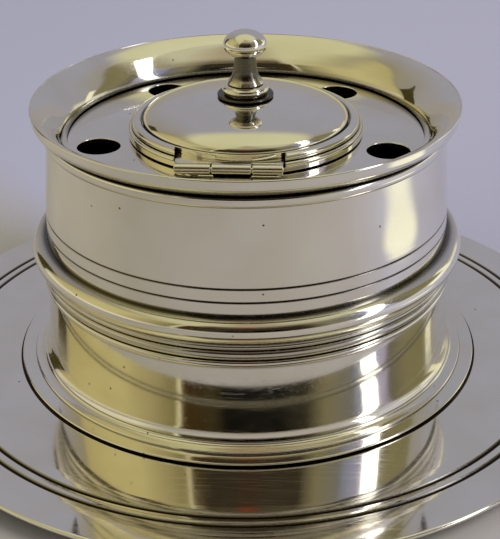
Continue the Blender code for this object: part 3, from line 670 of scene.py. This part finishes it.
plate_silver = polished_silver("sterling_plate", polish=0.05)
radius, bottom, PEN_PLATE_TOP_MM = span("pen_plate")
mouth = span("mouth_collar")[0] - FLANGE_LAP_MM
hole = PEN_HOLE_MM
brim = hole + HOLE_EDGE_MM
above, below = PEN_PLATE_TOP_MM + 1.0, bottom - 1.0
outline = [(0.0, above), (brim, above), (brim, PEN_PLATE_TOP_MM + 0.02)]
outline += bow(brim, PEN_PLATE_TOP_MM - HOLE_EDGE_MM, -HOLE_EDGE_MM, HOLE_EDGE_MM, 78.0, 0.0, 15)
outline += [(hole, below), (0.0, below)]
punch = turn("pen_punch", outline, plate_silver, SMALL_FACETS, closed=False)
outline = [(radius, PEN_PLATE_TOP_MM, 0.1), (radius, bottom, 0.1, 1.0)]
outline += [(mouth, bottom, 0.1, 1.0), (mouth, PEN_PLATE_TOP_MM, 0.1)]
blank = turn("pen_plate_blank", outline, plate_silver)
PIERCING = piercing_tree()
pierce = blank.modifiers.new("piercing", "NODES")
pierce.node_group = PIERCING
values = {"Punch": punch, "Places": PLACES, "Circle radius": PEN_CIRCLE_MM * MM, "Finish": plate_silver}
values["Turn"] = (PLACES - 1) * PLACE_SPACING
values["First place"] = math.radians(-90.0) - values["Turn"] / 2
set_inputs(pierce, PIERCING, values)
plate = plain_mesh(blank, "pierced_pen_plate", HOLE_CREASE)
bpy.data.objects.remove(punch)
# Painted shade: every point deeper than the holes' rounded brims, on the hole walls, the mouth's edge and the
# underside, takes the full dark tarnish colour, so that the holes look dark inside.
depths = [vertex.co.z / MM < PEN_PLATE_TOP_MM - 2 * HOLE_EDGE_MM for vertex in plate.data.vertices]
plate.data.attributes["tarnish_and_shade"].data.foreach_set("value", [float(deep) for deep in depths])
dress(plate, "pen_plate")

# The mouth collar: a short drawn tube with a turned-out flange, soldered into the plate to carry the liner.
# The lid hides it, and ink and damp have dulled its silver.

COLLAR_WALL_MM = 1.3

collar_silver = polished_silver("sterling_collar", polish=0.16, haze=0.1)
radius, bottom, top = span("mouth_collar")
tube = radius - FLANGE_LAP_MM - GAP_MM
bore = tube - COLLAR_WALL_MM
flange_low = PEN_PLATE_TOP_MM + GAP_MM
outline = [(bore, top, 0.15), (radius, top, 0.35), (radius, flange_low, 0.2)]
outline += [(tube, flange_low, 0.1, 0.6), (tube, bottom, 0.1, 1.0), (bore, bottom, 0.1, 0.6)]
dress(turn("drawn_collar", outline, collar_silver), "mouth_collar")

# The glass liner: clear pressed glass with a ground flange, faintly green in its thickness.
# It hangs in the collar by its flange and lifts out to be washed.

LINER_WALL_MM = 2.2
LINER_FLOOR_MM = 3.0
LINER_FLANGE_MM = 2.2
LINER_LEDGE_MM = 1.4
MOULD_WAVE_MM = 6.0

glass = {"Base Color": linear("E6F2EE"), "Transmission Weight": 1.0, "IOR": 1.5}
clear_glass, tree, shader, place = new_material("pressed_glass", glass)
mould = {"Vector": place, "Scale": 1.0 / (MOULD_WAVE_MM * MM), "Detail": 1.0}
wave = add_node(tree, "ShaderNodeTexNoise", mould).outputs["Fac"]
chill = {"Value": wave, "From Min": 0.3, "From Max": 0.8, "To Min": 0.01, "To Max": 0.06}
tree.links.new(add_node(tree, "ShaderNodeMapRange", chill).outputs["Result"], shader.inputs["Roughness"])
waves = add_node(tree, "ShaderNodeBump", {"Height": wave, "Distance": 0.03 * MM})
tree.links.new(waves.outputs["Normal"], shader.inputs["Normal"])

radius, bottom, top = span("glass_liner")
body = radius - LINER_FLANGE_MM
inner = body - LINER_WALL_MM
well, ledge = bottom + LINER_FLOOR_MM, top - LINER_LEDGE_MM
outline = [(0.0, well), (inner, well, LINER_WALL_MM), (inner, top, 0.4), (radius, top, 0.35)]
outline += [(radius, ledge, 0.3), (body, ledge, 0.15), (body, bottom, LINER_WALL_MM), (0.0, bottom)]
dress(turn("pressed_glass_liner", outline, clear_glass, closed=False), "glass_liner")

# The hinge's fixed knuckles: two lengths of drawn silver tube soldered to the plate, and the wire pin
# through them, its ends filed off and riveted over. The flats and ends are worn soft.

KNUCKLE_EDGE_MM = 0.12
PIN_HEAD_MM = 0.1
PIN_PLAY_MM = 0.2

hinge_silver = polished_silver("sterling_hinge", polish=0.17, haze=0.08, pits=0.4)
pin_low, pin_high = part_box("hinge_pin")
HINGE_Y_MM = (pin_low.y + pin_high.y) / 2 / MM
HINGE_Z_MM = (pin_low.z + pin_high.z) / 2 / MM
PIN_RADIUS_MM = (pin_high.z - pin_low.z) / 2 / MM
BORE_MM = PIN_RADIUS_MM + PIN_PLAY_MM


def lay_along_x(piece):
    """Lay a piece that was turned about Z along the hinge's axis, keeping its heights as places along X."""
    across = Matrix.Translation((0.0, HINGE_Y_MM * MM, HINGE_Z_MM * MM))
    piece.data.transform(across @ Matrix.Rotation(math.radians(90.0), 4, "Y"))
    return piece


for side in ("left", "right"):
    low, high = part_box(f"hinge_knuckle_{side}")
    barrel = (high.z - low.z) / 2 / MM
    ends = rod(barrel, low.x / MM, high.x / MM, KNUCKLE_EDGE_MM)[1:-1]
    outline = [(BORE_MM, high.x / MM, 0.05), *ends, (BORE_MM, low.x / MM, 0.05)]
    tube = lay_along_x(turn(f"drawn_knuckle_{side}", outline, hinge_silver, SMALL_FACETS))
    dress(tube, f"hinge_knuckle_{side}")

outline = rod(PIN_RADIUS_MM, pin_low.x / MM, pin_high.x / MM, PIN_HEAD_MM)
pin = lay_along_x(turn("riveted_pin", outline, hinge_silver, SMALL_FACETS // 2, closed=False))
dress(pin, "hinge_pin")

# The lid's half of the hinge: a flat leaf filed to follow the lid's curve, with the middle knuckle
# brazed under its front edge. It moves with the lid.

LEAF_MM = 0.7
LEAF_EDGE_MM = 0.1
MIDDLE_KNUCKLE_MM = 7.4
LEAF_LAND_MM = 0.6
ARC_STEPS = 40
CUTTER_SPARE_MM = 2.0
SHARP_ANGLE = math.radians(50.0)

low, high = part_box("lid_leaf")
leaf_left, leaf_right = low.x / MM, high.x / MM
leaf_top = high.z / MM
leaf_low = leaf_top - LEAF_MM
barrel = leaf_top - HINGE_Z_MM
leaf_front = HINGE_Y_MM + barrel + GAP_MM
dome_radius = span("lid_dome")[0]
crease = dome_radius + GAP_MM + LEAF_LAND_MM + GAP_MM
left_knuckle_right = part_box("hinge_knuckle_left")[1].x / MM
middle_left = left_knuckle_right + GAP_MM
middle_right = middle_left + MIDDLE_KNUCKLE_MM


def slab(name, corners, low_z, high_z, material):
    """A flat plate with the given outline, thick from low_z to high_z."""
    mesh = bpy.data.meshes.new(name)
    shape = bmesh.new()
    bottom_face = shape.faces.new([shape.verts.new((x * MM, y * MM, low_z * MM)) for x, y in corners])
    lifted = bmesh.ops.extrude_face_region(shape, geom=[bottom_face])["geom"]
    verts = [item for item in lifted if isinstance(item, bmesh.types.BMVert)]
    bmesh.ops.translate(shape, verts=verts, vec=(0.0, 0.0, (high_z - low_z) * MM))
    bmesh.ops.recalc_face_normals(shape, faces=shape.faces)
    shape.to_mesh(mesh)
    shape.free()
    mesh.materials.append(material)
    return put(name, mesh)


def cut(piece, other, operation="DIFFERENCE"):
    """Cut another piece out of a piece, or join it on."""
    boolean = piece.modifiers.new(operation.lower(), "BOOLEAN")
    boolean.operation = operation
    boolean.solver = "EXACT"
    boolean.object = other


def file_edges(piece, width):
    """File a piece's sharp edges round, by a width in millimetres."""
    filed = piece.modifiers.new("filed edges", "BEVEL")
    filed.width = width * MM
    filed.segments = 2
    filed.limit_method = "ANGLE"
    filed.angle_limit = SHARP_ANGLE


def arc_points(radius, left, right):
    """Corners along a circle's front, from right to left."""
    places = [right + (left - right) * step / ARC_STEPS for step in range(ARC_STEPS + 1)]
    return [(x, -math.sqrt(radius**2 - x**2)) for x in places]


corners = [(leaf_left, leaf_front), (middle_left, leaf_front), (middle_left, HINGE_Y_MM)]
corners += [(middle_right, HINGE_Y_MM), (middle_right, leaf_front), (leaf_right, leaf_front)]
corners += arc_points(crease, leaf_left, leaf_right)
leaf = slab("leaf_blank", corners, leaf_low, leaf_top, hinge_silver)
outline = rod(barrel, middle_left, middle_right, KNUCKLE_EDGE_MM)
tube = lay_along_x(turn("middle_tube", outline, hinge_silver, SMALL_FACETS, closed=False))
outline = rod(BORE_MM, middle_left - CUTTER_SPARE_MM, middle_right + CUTTER_SPARE_MM)
drill = lay_along_x(turn("middle_drill", outline, hinge_silver, SMALL_FACETS, closed=False))
cut(leaf, tube, "UNION")
cut(leaf, drill)
file_edges(leaf, LEAF_EDGE_MM)
leaf = plain_mesh(leaf, "filed_leaf")
bpy.data.objects.remove(tube)
bpy.data.objects.remove(drill)
dress(leaf, "lid_leaf", "lid")

# The lid's moulding: a stepped ring of drawn silver soldered round the dome, notched for the leaf.
# Its roll catches the window, and a dark quirk runs under it.

MOULDING_WIDTH_MM = 2.7
STEP_ROUND_MM = 0.55

ring_silver = polished_silver("sterling_ring", polish=0.045, pits=0.5)
radius, bottom, top = span("lid_moulding")
bore = dome_radius + GAP_MM
outer = bore + MOULDING_WIDTH_MM
roll_shares = ((0.12, 0.985), (0.35, 1.0), (0.60, 0.93), (0.72, 0.82), (0.755, 0.70), (0.72, 0.61))
roll = curve_through(between(roll_shares, bore, outer, bottom, top), 6)
rise = top - bottom
outline = [(bore, bottom + rise * 0.90, 0.0, 0.9), *roll]
outline += [(outer - 0.85, bottom + rise * 0.60, 0.0, 1.0), (outer - 0.72, bottom + rise * 0.54, 0.0, 1.0)]
outline += bow(outer - STEP_ROUND_MM, bottom + rise * 0.28, STEP_ROUND_MM, rise * 0.26, 88.0, 0.0, 12)
outline += [(outer, bottom, 0.12), (bore, bottom)]
ring = turn("moulding_blank", outline, ring_silver)
sweep_left, sweep_right = leaf_left - GAP_MM, leaf_right + GAP_MM
corners = [(sweep_left, HINGE_Y_MM - barrel), (sweep_right, HINGE_Y_MM - barrel)]
corners += arc_points(crease - SEAM_MM, sweep_left, sweep_right)
notch = slab("leaf_notch", corners, leaf_low - GAP_MM, top + CUTTER_SPARE_MM, ring_silver)
outline = rod(barrel + GAP_MM, sweep_left, sweep_right)
sweep = lay_along_x(turn("hinge_sweep", outline, ring_silver, SMALL_FACETS, closed=False))
cut(ring, notch)
cut(ring, sweep)
ring = plain_mesh(ring, "drawn_lid_moulding")
# Painted shade: the points on the notch's two end walls take the full dark tarnish colour, so that they stay
# dark beside the leaf.
darkness = ring.data.attributes["tarnish_and_shade"].data
for vertex in ring.data.vertices:
    if min(abs(vertex.co.x / MM - sweep_left), abs(vertex.co.x / MM - sweep_right)) < SEAM_MM:
        darkness[vertex.index].value = 1.0
bpy.data.objects.remove(notch)
bpy.data.objects.remove(sweep)
dress(ring, "lid_moulding", "lid")

# The bezel inside the lid: a plain ring of sheet that drops round the collar and centres the lid.
# It rubs on the collar each time the lid shuts, so it is bright but scratched.

BEZEL_MM = 0.8

radius, bottom, top = span("lid_bezel")
outline = [(radius, top, 0.1), (radius, bottom, 0.25)]
outline += [(radius - BEZEL_MM, bottom, 0.25), (radius - BEZEL_MM, top, 0.1)]
dress(turn("sheet_bezel", outline, collar_silver), "lid_bezel", "lid")

# The dome: sheet silver raised over a stake into a low cushion, steep only at its edge.
# Its top mirrors the wall behind and its shoulder the ceiling.

DOME_RISE_MM = 4.5
DOME_SKIRT_MM = 0.7
DOME_SHEET_MM = 0.9
STUD_HOLE_MM = 1.4

dome_silver = polished_silver("sterling_dome", polish=0.04)
radius, bottom, top = span("lid_dome")
edge_z = bottom + DOME_SKIRT_MM
inner_radius = radius - DOME_SHEET_MM
inner_rise = DOME_RISE_MM - DOME_SHEET_MM
crown = math.degrees(math.acos(STUD_HOLE_MM / radius))
inner_crown = math.degrees(math.acos(STUD_HOLE_MM / inner_radius))
outline = bow(0.0, edge_z, radius, DOME_RISE_MM, crown, 0.0, 72)
outline += [(radius, bottom, 0.0, 0.8), (inner_radius, bottom, 0.0, 0.5)]
outline += bow(0.0, edge_z, inner_radius, inner_rise, 0.0, inner_crown, 36, tarnish_and_shade=(0.25, 0.25))
dress(turn("raised_dome", outline, dome_silver), "lid_dome", "lid")

# The finial: cast and turned in one with its stud. A flattened ball on a slim neck, a bell foot,
# a bead and a thin disc. Fingers keep the ball bright. The neck darkens towards its waist, the quirk
# under the bell is nearly black, and the quirk and thin disc under the bead are painted dark as shade.

BALL_MM = 4.35
BALL_HALF_MM = 2.85
NECK_MM = 2.15
BELL_MM = 3.7
BELL_RISE_MM = 2.5
BEAD_RADIUS_MM = 4.73
FINIAL_BEAD_MM = 1.95
FINIAL_BEAD_LIFT_MM = 0.2
STUD_MM = 1.1
NECK_DARKENING = 0.85
NECK_CLEAR_MM = 1.4

finial_silver = polished_silver("sterling_finial", polish=0.05, pits=0.3)
disc_radius, stud_bottom, top = span("finial")
foot = edge_z + DOME_RISE_MM + GAP_MM
ball_z = top - BALL_HALF_MM
bell_z = foot + BELL_RISE_MM
half = FINIAL_BEAD_MM / 2
bead_z = foot + FINIAL_BEAD_LIFT_MM + half
join = -math.degrees(math.acos(NECK_MM / BALL_MM))
ball_low = ball_z + BALL_HALF_MM * math.sin(math.radians(join))
neck_shares = ((0.0, 1.0), (0.02, 0.92), (0.09, 0.62), (0.18, 0.42), (0.44, 0.22), (0.76, 0.10), (1.0, 0.0))
outline = bow(0.0, ball_z, BALL_MM, BALL_HALF_MM, 90.0, join / 2, 40)
# The neck darkens from the bell upwards and on into the ball's underside, in the dark tarnish colour.
outline += bow(0.0, ball_z, BALL_MM, BALL_HALF_MM, join / 2, join, 12, tarnish_and_shade=(0.0, NECK_DARKENING))
neck = curve_through(between(neck_shares, NECK_MM, BELL_MM, bell_z, ball_low), 8)[1:]
outline += [(r, z, 0.0, NECK_DARKENING * min(max((z - bell_z) / NECK_CLEAR_MM, 0.0), 1.0)) for r, z in neck]
outline += [(BELL_MM - 0.1, bell_z - 0.2, 0.0, 0.9), (BELL_MM - 0.4, bell_z - 0.35, 0.0, 1.0)]
outline += bow(BELL_MM - 0.3, bead_z, BEAD_RADIUS_MM - BELL_MM + 0.3, half, 78.0, -70.0, 19)
# Painted shade: the quirk under the bead and the thin disc take the dark tarnish colour, nearly in full.
outline += [(BELL_MM + 0.3, bead_z - half - 0.02, 0.0, 1.0), (disc_radius - 0.15, bead_z - half, 0.08, 0.9)]
disc_low = edge_z + DOME_RISE_MM * math.sqrt(1.0 - (disc_radius / dome_radius) ** 2) + GAP_MM
outline += [(disc_radius, bead_z - half - 0.15, 0.08, 0.9), (disc_radius, disc_low, 0.05, 0.9)]
outline += [(STUD_MM, foot, 0.0, 0.9), (STUD_MM, stud_bottom), (0.0, stud_bottom)]
dress(turn("turned_finial", outline, finial_silver, 192, closed=False), "finial", "lid")

# The nut that draws the finial down: a six-sided brass nut on its stud, seen only with the lid open.
# Plain turned brass, darkened by ink fumes, with its corners chamfered.

NUT_EDGE_MM = 0.25
NUT_SIDES = 6
TURNING_MARK_MM = 1.5

nut_brass, tree, shader, place = new_material("turned_brass", {"Metallic": 1.0})
fumes = {"Vector": place, "Scale": 1.0 / (TURNING_MARK_MM * MM), "Detail": 3.0}
dulling = add_node(tree, "ShaderNodeTexNoise", fumes).outputs["Fac"]
brown = add_node(tree, "ShaderNodeValToRGB", {"Fac": dulling}, [(0.3, "A88343"), (0.75, "6E5226")])
tree.links.new(brown.outputs["Color"], shader.inputs["Base Color"])
filmed = {"Value": dulling, "From Min": 0.3, "From Max": 0.8, "To Min": 0.22, "To Max": 0.45}
tree.links.new(add_node(tree, "ShaderNodeMapRange", filmed).outputs["Result"], shader.inputs["Roughness"])

low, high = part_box("finial_nut")
nut_radius = (high.y - low.y) / 2 / MM
turns = [math.radians(360.0 / NUT_SIDES * corner + 90.0) for corner in range(NUT_SIDES)]
corners = [(nut_radius * math.cos(angle), nut_radius * math.sin(angle)) for angle in turns]
nut = slab("nut_blank", corners, low.z / MM, high.z / MM, nut_brass)
outline = rod(STUD_MM + GAP_MM, low.z / MM - 1.0, high.z / MM + 1.0)
drill = turn("nut_drill", outline, nut_brass, SMALL_FACETS, closed=False)
cut(nut, drill)
file_edges(nut, NUT_EDGE_MM)
nut = plain_mesh(nut, "chamfered_nut")
bpy.data.objects.remove(drill)
dress(nut, "finial_nut", "lid")

# The table: a wide sheet of pale lilac-grey paper. Its colour is painted warmer in front and cooler behind,
# as painted light from the room's cream walls and from daylight. A daylight lamp stands on the right,
# and a painted pool of window light, which only the silver shows, lies beside the base.

FLOOR_HALF_M = 6.0
LAMP_BEARING = math.radians(350.0)
LAMP_HEIGHT = math.radians(42.0)
LAMP_AWAY_M = 1.2
LAMP_SIZE_M = 0.7
LAMP_WATTS = 9.0
POOL_PLACE_MM = Vector((146.0, -12.0, 0.0))
POOL_SIZE_MM = Vector((26.0, 33.0, 10.0))
POOL_EDGE = {"From Min": 1.2, "From Max": 0.7}
# Painted light: the paper's colour at each bearing, in degrees round the inkwell, warm in front where the
# cream walls would light it and cool behind under daylight.
TABLE_LIGHT_COLOURS = {
    0: "B6B4C0", 40: "A9A7B6", 90: "B3B2C3", 126: "B3B2C3", 141: "AFA99A", 160: "C0B9AA", 182: "BDB6A6",
    200: "B4AD9D", 217: "AAA497", 270: "AAA59D", 300: "ACA7A0", 323: "ADA8A6", 345: "B8B6C2",
}


def bearing_of(tree, place):
    """The bearing of a place, as a share of a full turn, and its height."""
    parts = add_node(tree, "ShaderNodeSeparateXYZ", {"Vector": place}).outputs
    turned = {0: parts["Y"], 1: parts["X"]}
    turned = add_node(tree, "ShaderNodeMath", turned, operation="ARCTAN2").outputs[0]
    share = add_node(tree, "ShaderNodeMath", {0: turned, 1: 1.0 / math.tau}, operation="MULTIPLY").outputs[0]
    return add_node(tree, "ShaderNodeMath", {0: share}, operation="FRACT").outputs[0], parts["Z"]


matt = {"Roughness": 0.9, "Specular IOR Level": 0.2}
paper, tree, shader, place = new_material("pale_paper", matt)
bearing = bearing_of(tree, place)[0]
stops = [(degrees / 360, colour) for degrees, colour in TABLE_LIGHT_COLOURS.items()]
table_light = add_node(tree, "ShaderNodeValToRGB", {"Fac": bearing}, stops).outputs["Color"]
# Painted light: a pool of pale window light on the paper, in its colour; only glossy rays see it, so it shows
# only in the silver.
away = {"Vector": place, "Location": MM * POOL_PLACE_MM, "Scale": MM * POOL_SIZE_MM}
away = add_node(tree, "ShaderNodeMapping", away, vector_type="TEXTURE").outputs["Vector"]
away = add_node(tree, "ShaderNodeVectorMath", {0: away}, operation="LENGTH").outputs["Value"]
pool = {"Value": away, **POOL_EDGE}
pool = add_node(tree, "ShaderNodeMapRange", pool, interpolation_type="SMOOTHSTEP").outputs["Result"]
mirrored = add_node(tree, "ShaderNodeLightPath").outputs["Is Glossy Ray"]
pool = add_node(tree, "ShaderNodeMath", {0: pool, 1: mirrored}, operation="MULTIPLY").outputs[0]
paper_colour = {"Factor": pool, 6: table_light, 7: linear("FFFEE6")}
table_light = add_node(tree, "ShaderNodeMix", paper_colour, data_type="RGBA")
tree.links.new(table_light.outputs[2], shader.inputs["Base Color"])
floor_mesh = bpy.data.meshes.new("floor")
corners = [(x * FLOOR_HALF_M, y * FLOOR_HALF_M, 0.0) for x, y in ((-1, -1), (1, -1), (1, 1), (-1, 1))]
floor_mesh.from_pydata(corners, [], [(0, 1, 2, 3)])
floor_mesh.materials.append(paper)
floor = put("floor", floor_mesh)

lamp_data = bpy.data.lights.new("daylight", "AREA")
lamp_data.size = LAMP_SIZE_M
lamp_data.energy = LAMP_WATTS
lamp = put("daylight", lamp_data)
flat = math.cos(LAMP_HEIGHT)
away = Vector((flat * math.cos(LAMP_BEARING), flat * math.sin(LAMP_BEARING), math.sin(LAMP_HEIGHT)))
lamp.matrix_world = Matrix.Translation(away * LAMP_AWAY_M) @ away.to_track_quat("Z", "Y").to_matrix().to_4x4()
lamp.visible_glossy = False
lamp.visible_transmission = False

# The room, as the silver mirrors it: cream walls, dark furniture on the camera's side, a grey backdrop
# behind, a pale ceiling, and one long strip of daylight that climbs on the right.

# The walls from the floor up: the colour at each bearing, in degrees.
SKIRTING = {
    0: "C8C6BC", 16: "C8C6BC", 18: "FFFEF0", 30: "FFFEF0", 33: "DAD8BE", 52: "DAD8BE", 57: "A09CA2",
    110: "9C968F", 148: "9C968F", 154: "D6CEAE", 215: "D6CEAE", 232: "A7A694", 250: "B1A9A0",
    312: "B1A9A0", 345: "C8C6C8",
}
LOW_WALLS = {
    0: "6A6456", 12: "807A5C", 29: "7C7654", 33: "9A9690", 54: "9B9BA6", 110: "9B9AA4", 140: "958F84",
    151: "938C74", 155: "B2A674", 180: "BEB37E", 203: "BCB17C", 222: "9C9268", 234: "7A7248",
    236: "E8E0B8", 238: "3A2509", 255: "352E18", 262: "000000", 291: "030302", 305: "302C20",
    316: "7A7358", 331: "706E68", 336: "80849A", 354: "A8A2C0", 358: "6A6456",
}
HIGH_WALLS = {
    0: "B4AE98", 34: "B4AE98", 38: "9C9AA4", 120: "9C9AA4", 146: "9A937A", 185: "A8A17A", 215: "B8B184",
    238: "C0BB94", 246: "5A4A34", 305: "6E6450", 330: "979074",
}
UPPER_ROOM = {
    0: "D0CEAB", 190: "C8C49A", 235: "C6C29A", 262: "A69A7D", 300: "A69A7D", 335: "C0BCA0",
}
WALL_BREAKS = (13, 49)
WALL_SOFT = 4
# What stands out from the walls: its bearing, half width, height, half height and colour.
PATCHES = [
    (276, 30, 40, 9, "302A1E"),
    (273, 6, 53, 4, "7A3A22"),
    (143.5, 6.5, 5, 22, "3E3618"),
    (36, 3.5, 7, 20, "F6F4D6"),
]
CEILING_EDGE = [(0, 55), (40, 53), (120, 53), (150, 56), (235, 62), (300, 62), (340, 58)]
STRIP_SIDE = (-0.418, -0.820, 0.390)
STRIP_MIDDLE = 0.012
STRIP_HALF = 0.072
STRIP_STRENGTH = 3.0
STRIP_END = (-0.891, 0.454, 0.0)
STRIP_STOP = -0.45
CEILING_SOFT = 0.08
FILL_STRENGTH = 0.62

world = bpy.data.worlds.new("room")
bpy.context.scene.world = world
world.use_nodes = True
tree = world.node_tree
tree.nodes.clear()
toward = add_node(tree, "ShaderNodeTexCoord").outputs["Generated"]
bearing, lift = bearing_of(tree, toward)
climb = add_node(tree, "ShaderNodeMath", {0: lift}, operation="ARCSINE").outputs[0]
room = None
for walls, height in zip((SKIRTING, LOW_WALLS, HIGH_WALLS), (0, *WALL_BREAKS)):
    stops = [(degrees / 360, colour) for degrees, colour in walls.items()]
    walls = add_node(tree, "ShaderNodeValToRGB", {"Fac": bearing}, stops).outputs["Color"]
    if room is None:
        room = walls
        continue
    rise = {"Value": climb, "From Min": math.radians(height - WALL_SOFT)}
    rise["From Max"] = math.radians(height + WALL_SOFT)
    rise = add_node(tree, "ShaderNodeMapRange", rise, interpolation_type="SMOOTHSTEP").outputs["Result"]
    room = add_node(tree, "ShaderNodeMix", {"Factor": rise, 6: room, 7: walls}, data_type="RGBA").outputs[2]
edges = add_node(tree, "ShaderNodeValToRGB", {"Fac": bearing}, [(0.0, "000000")])
elements = edges.color_ramp.elements
for index, (degrees, height) in enumerate(CEILING_EDGE):
    element = elements[index] if index < len(elements) else elements.new(degrees / 360)
    element.position = degrees / 360
    element.color = (*[math.radians(height) / 2] * 3, 1.0)
above = {0: edges.outputs["Color"], 1: -2.0, 2: climb}
above = add_node(tree, "ShaderNodeMath", above, operation="MULTIPLY_ADD").outputs[0]
for degrees, half_width, height, half_height, colour in PATCHES:
    near = {0: bearing, 1: degrees / 360, 2: half_width / 360}
    near = add_node(tree, "ShaderNodeMath", near, operation="COMPARE").outputs[0]
    level = {0: climb, 1: math.radians(height), 2: math.radians(half_height)}
    level = add_node(tree, "ShaderNodeMath", level, operation="COMPARE").outputs[0]
    patch = add_node(tree, "ShaderNodeMath", {0: near, 1: level}, operation="MULTIPLY").outputs[0]
    room = {"Factor": patch, 6: room, 7: linear(colour)}
    room = add_node(tree, "ShaderNodeMix", room, data_type="RGBA").outputs[2]
soft = {"Value": above, "From Min": -CEILING_SOFT, "From Max": CEILING_SOFT}
ceiling = add_node(tree, "ShaderNodeMapRange", soft, interpolation_type="SMOOTHSTEP").outputs["Result"]
stops = [(degrees / 360, colour) for degrees, colour in UPPER_ROOM.items()]
upper = add_node(tree, "ShaderNodeValToRGB", {"Fac": bearing}, stops).outputs["Color"]
room = {"Factor": ceiling, 6: room, 7: upper}
room = add_node(tree, "ShaderNodeMix", room, data_type="RGBA").outputs[2]
off = add_node(tree, "ShaderNodeVectorMath", {0: toward, 1: STRIP_SIDE}, operation="DOT_PRODUCT")
off = {0: off.outputs["Value"], 1: STRIP_MIDDLE, 2: STRIP_HALF}
strip = add_node(tree, "ShaderNodeMath", off, operation="COMPARE").outputs[0]
end = add_node(tree, "ShaderNodeVectorMath", {0: toward, 1: STRIP_END}, operation="DOT_PRODUCT")
before = {0: end.outputs["Value"], 1: STRIP_STOP}
before = add_node(tree, "ShaderNodeMath", before, operation="LESS_THAN").outputs[0]
strip = add_node(tree, "ShaderNodeMath", {0: strip, 1: before}, operation="MULTIPLY").outputs[0]
lit = {"Factor": strip, 6: room, 7: (STRIP_STRENGTH, STRIP_STRENGTH, STRIP_STRENGTH, 1.0)}
lit = add_node(tree, "ShaderNodeMix", lit, data_type="RGBA").outputs[2]
mirrored = add_node(tree, "ShaderNodeBackground", {"Color": lit})
plain = add_node(tree, "ShaderNodeBackground", {"Color": linear("F2F1F6"), "Strength": FILL_STRENGTH})
rays = add_node(tree, "ShaderNodeLightPath").outputs
shiny = {0: rays["Is Glossy Ray"], 1: rays["Is Transmission Ray"]}
shiny = add_node(tree, "ShaderNodeMath", shiny, operation="MAXIMUM").outputs[0]
choice = {"Fac": shiny, 1: plain.outputs[0], 2: mirrored.outputs[0]}
choice = add_node(tree, "ShaderNodeMixShader", choice)
add_node(tree, "ShaderNodeOutputWorld", {"Surface": choice.outputs[0]})

bpy.context.scene.view_settings.view_transform = "Standard"
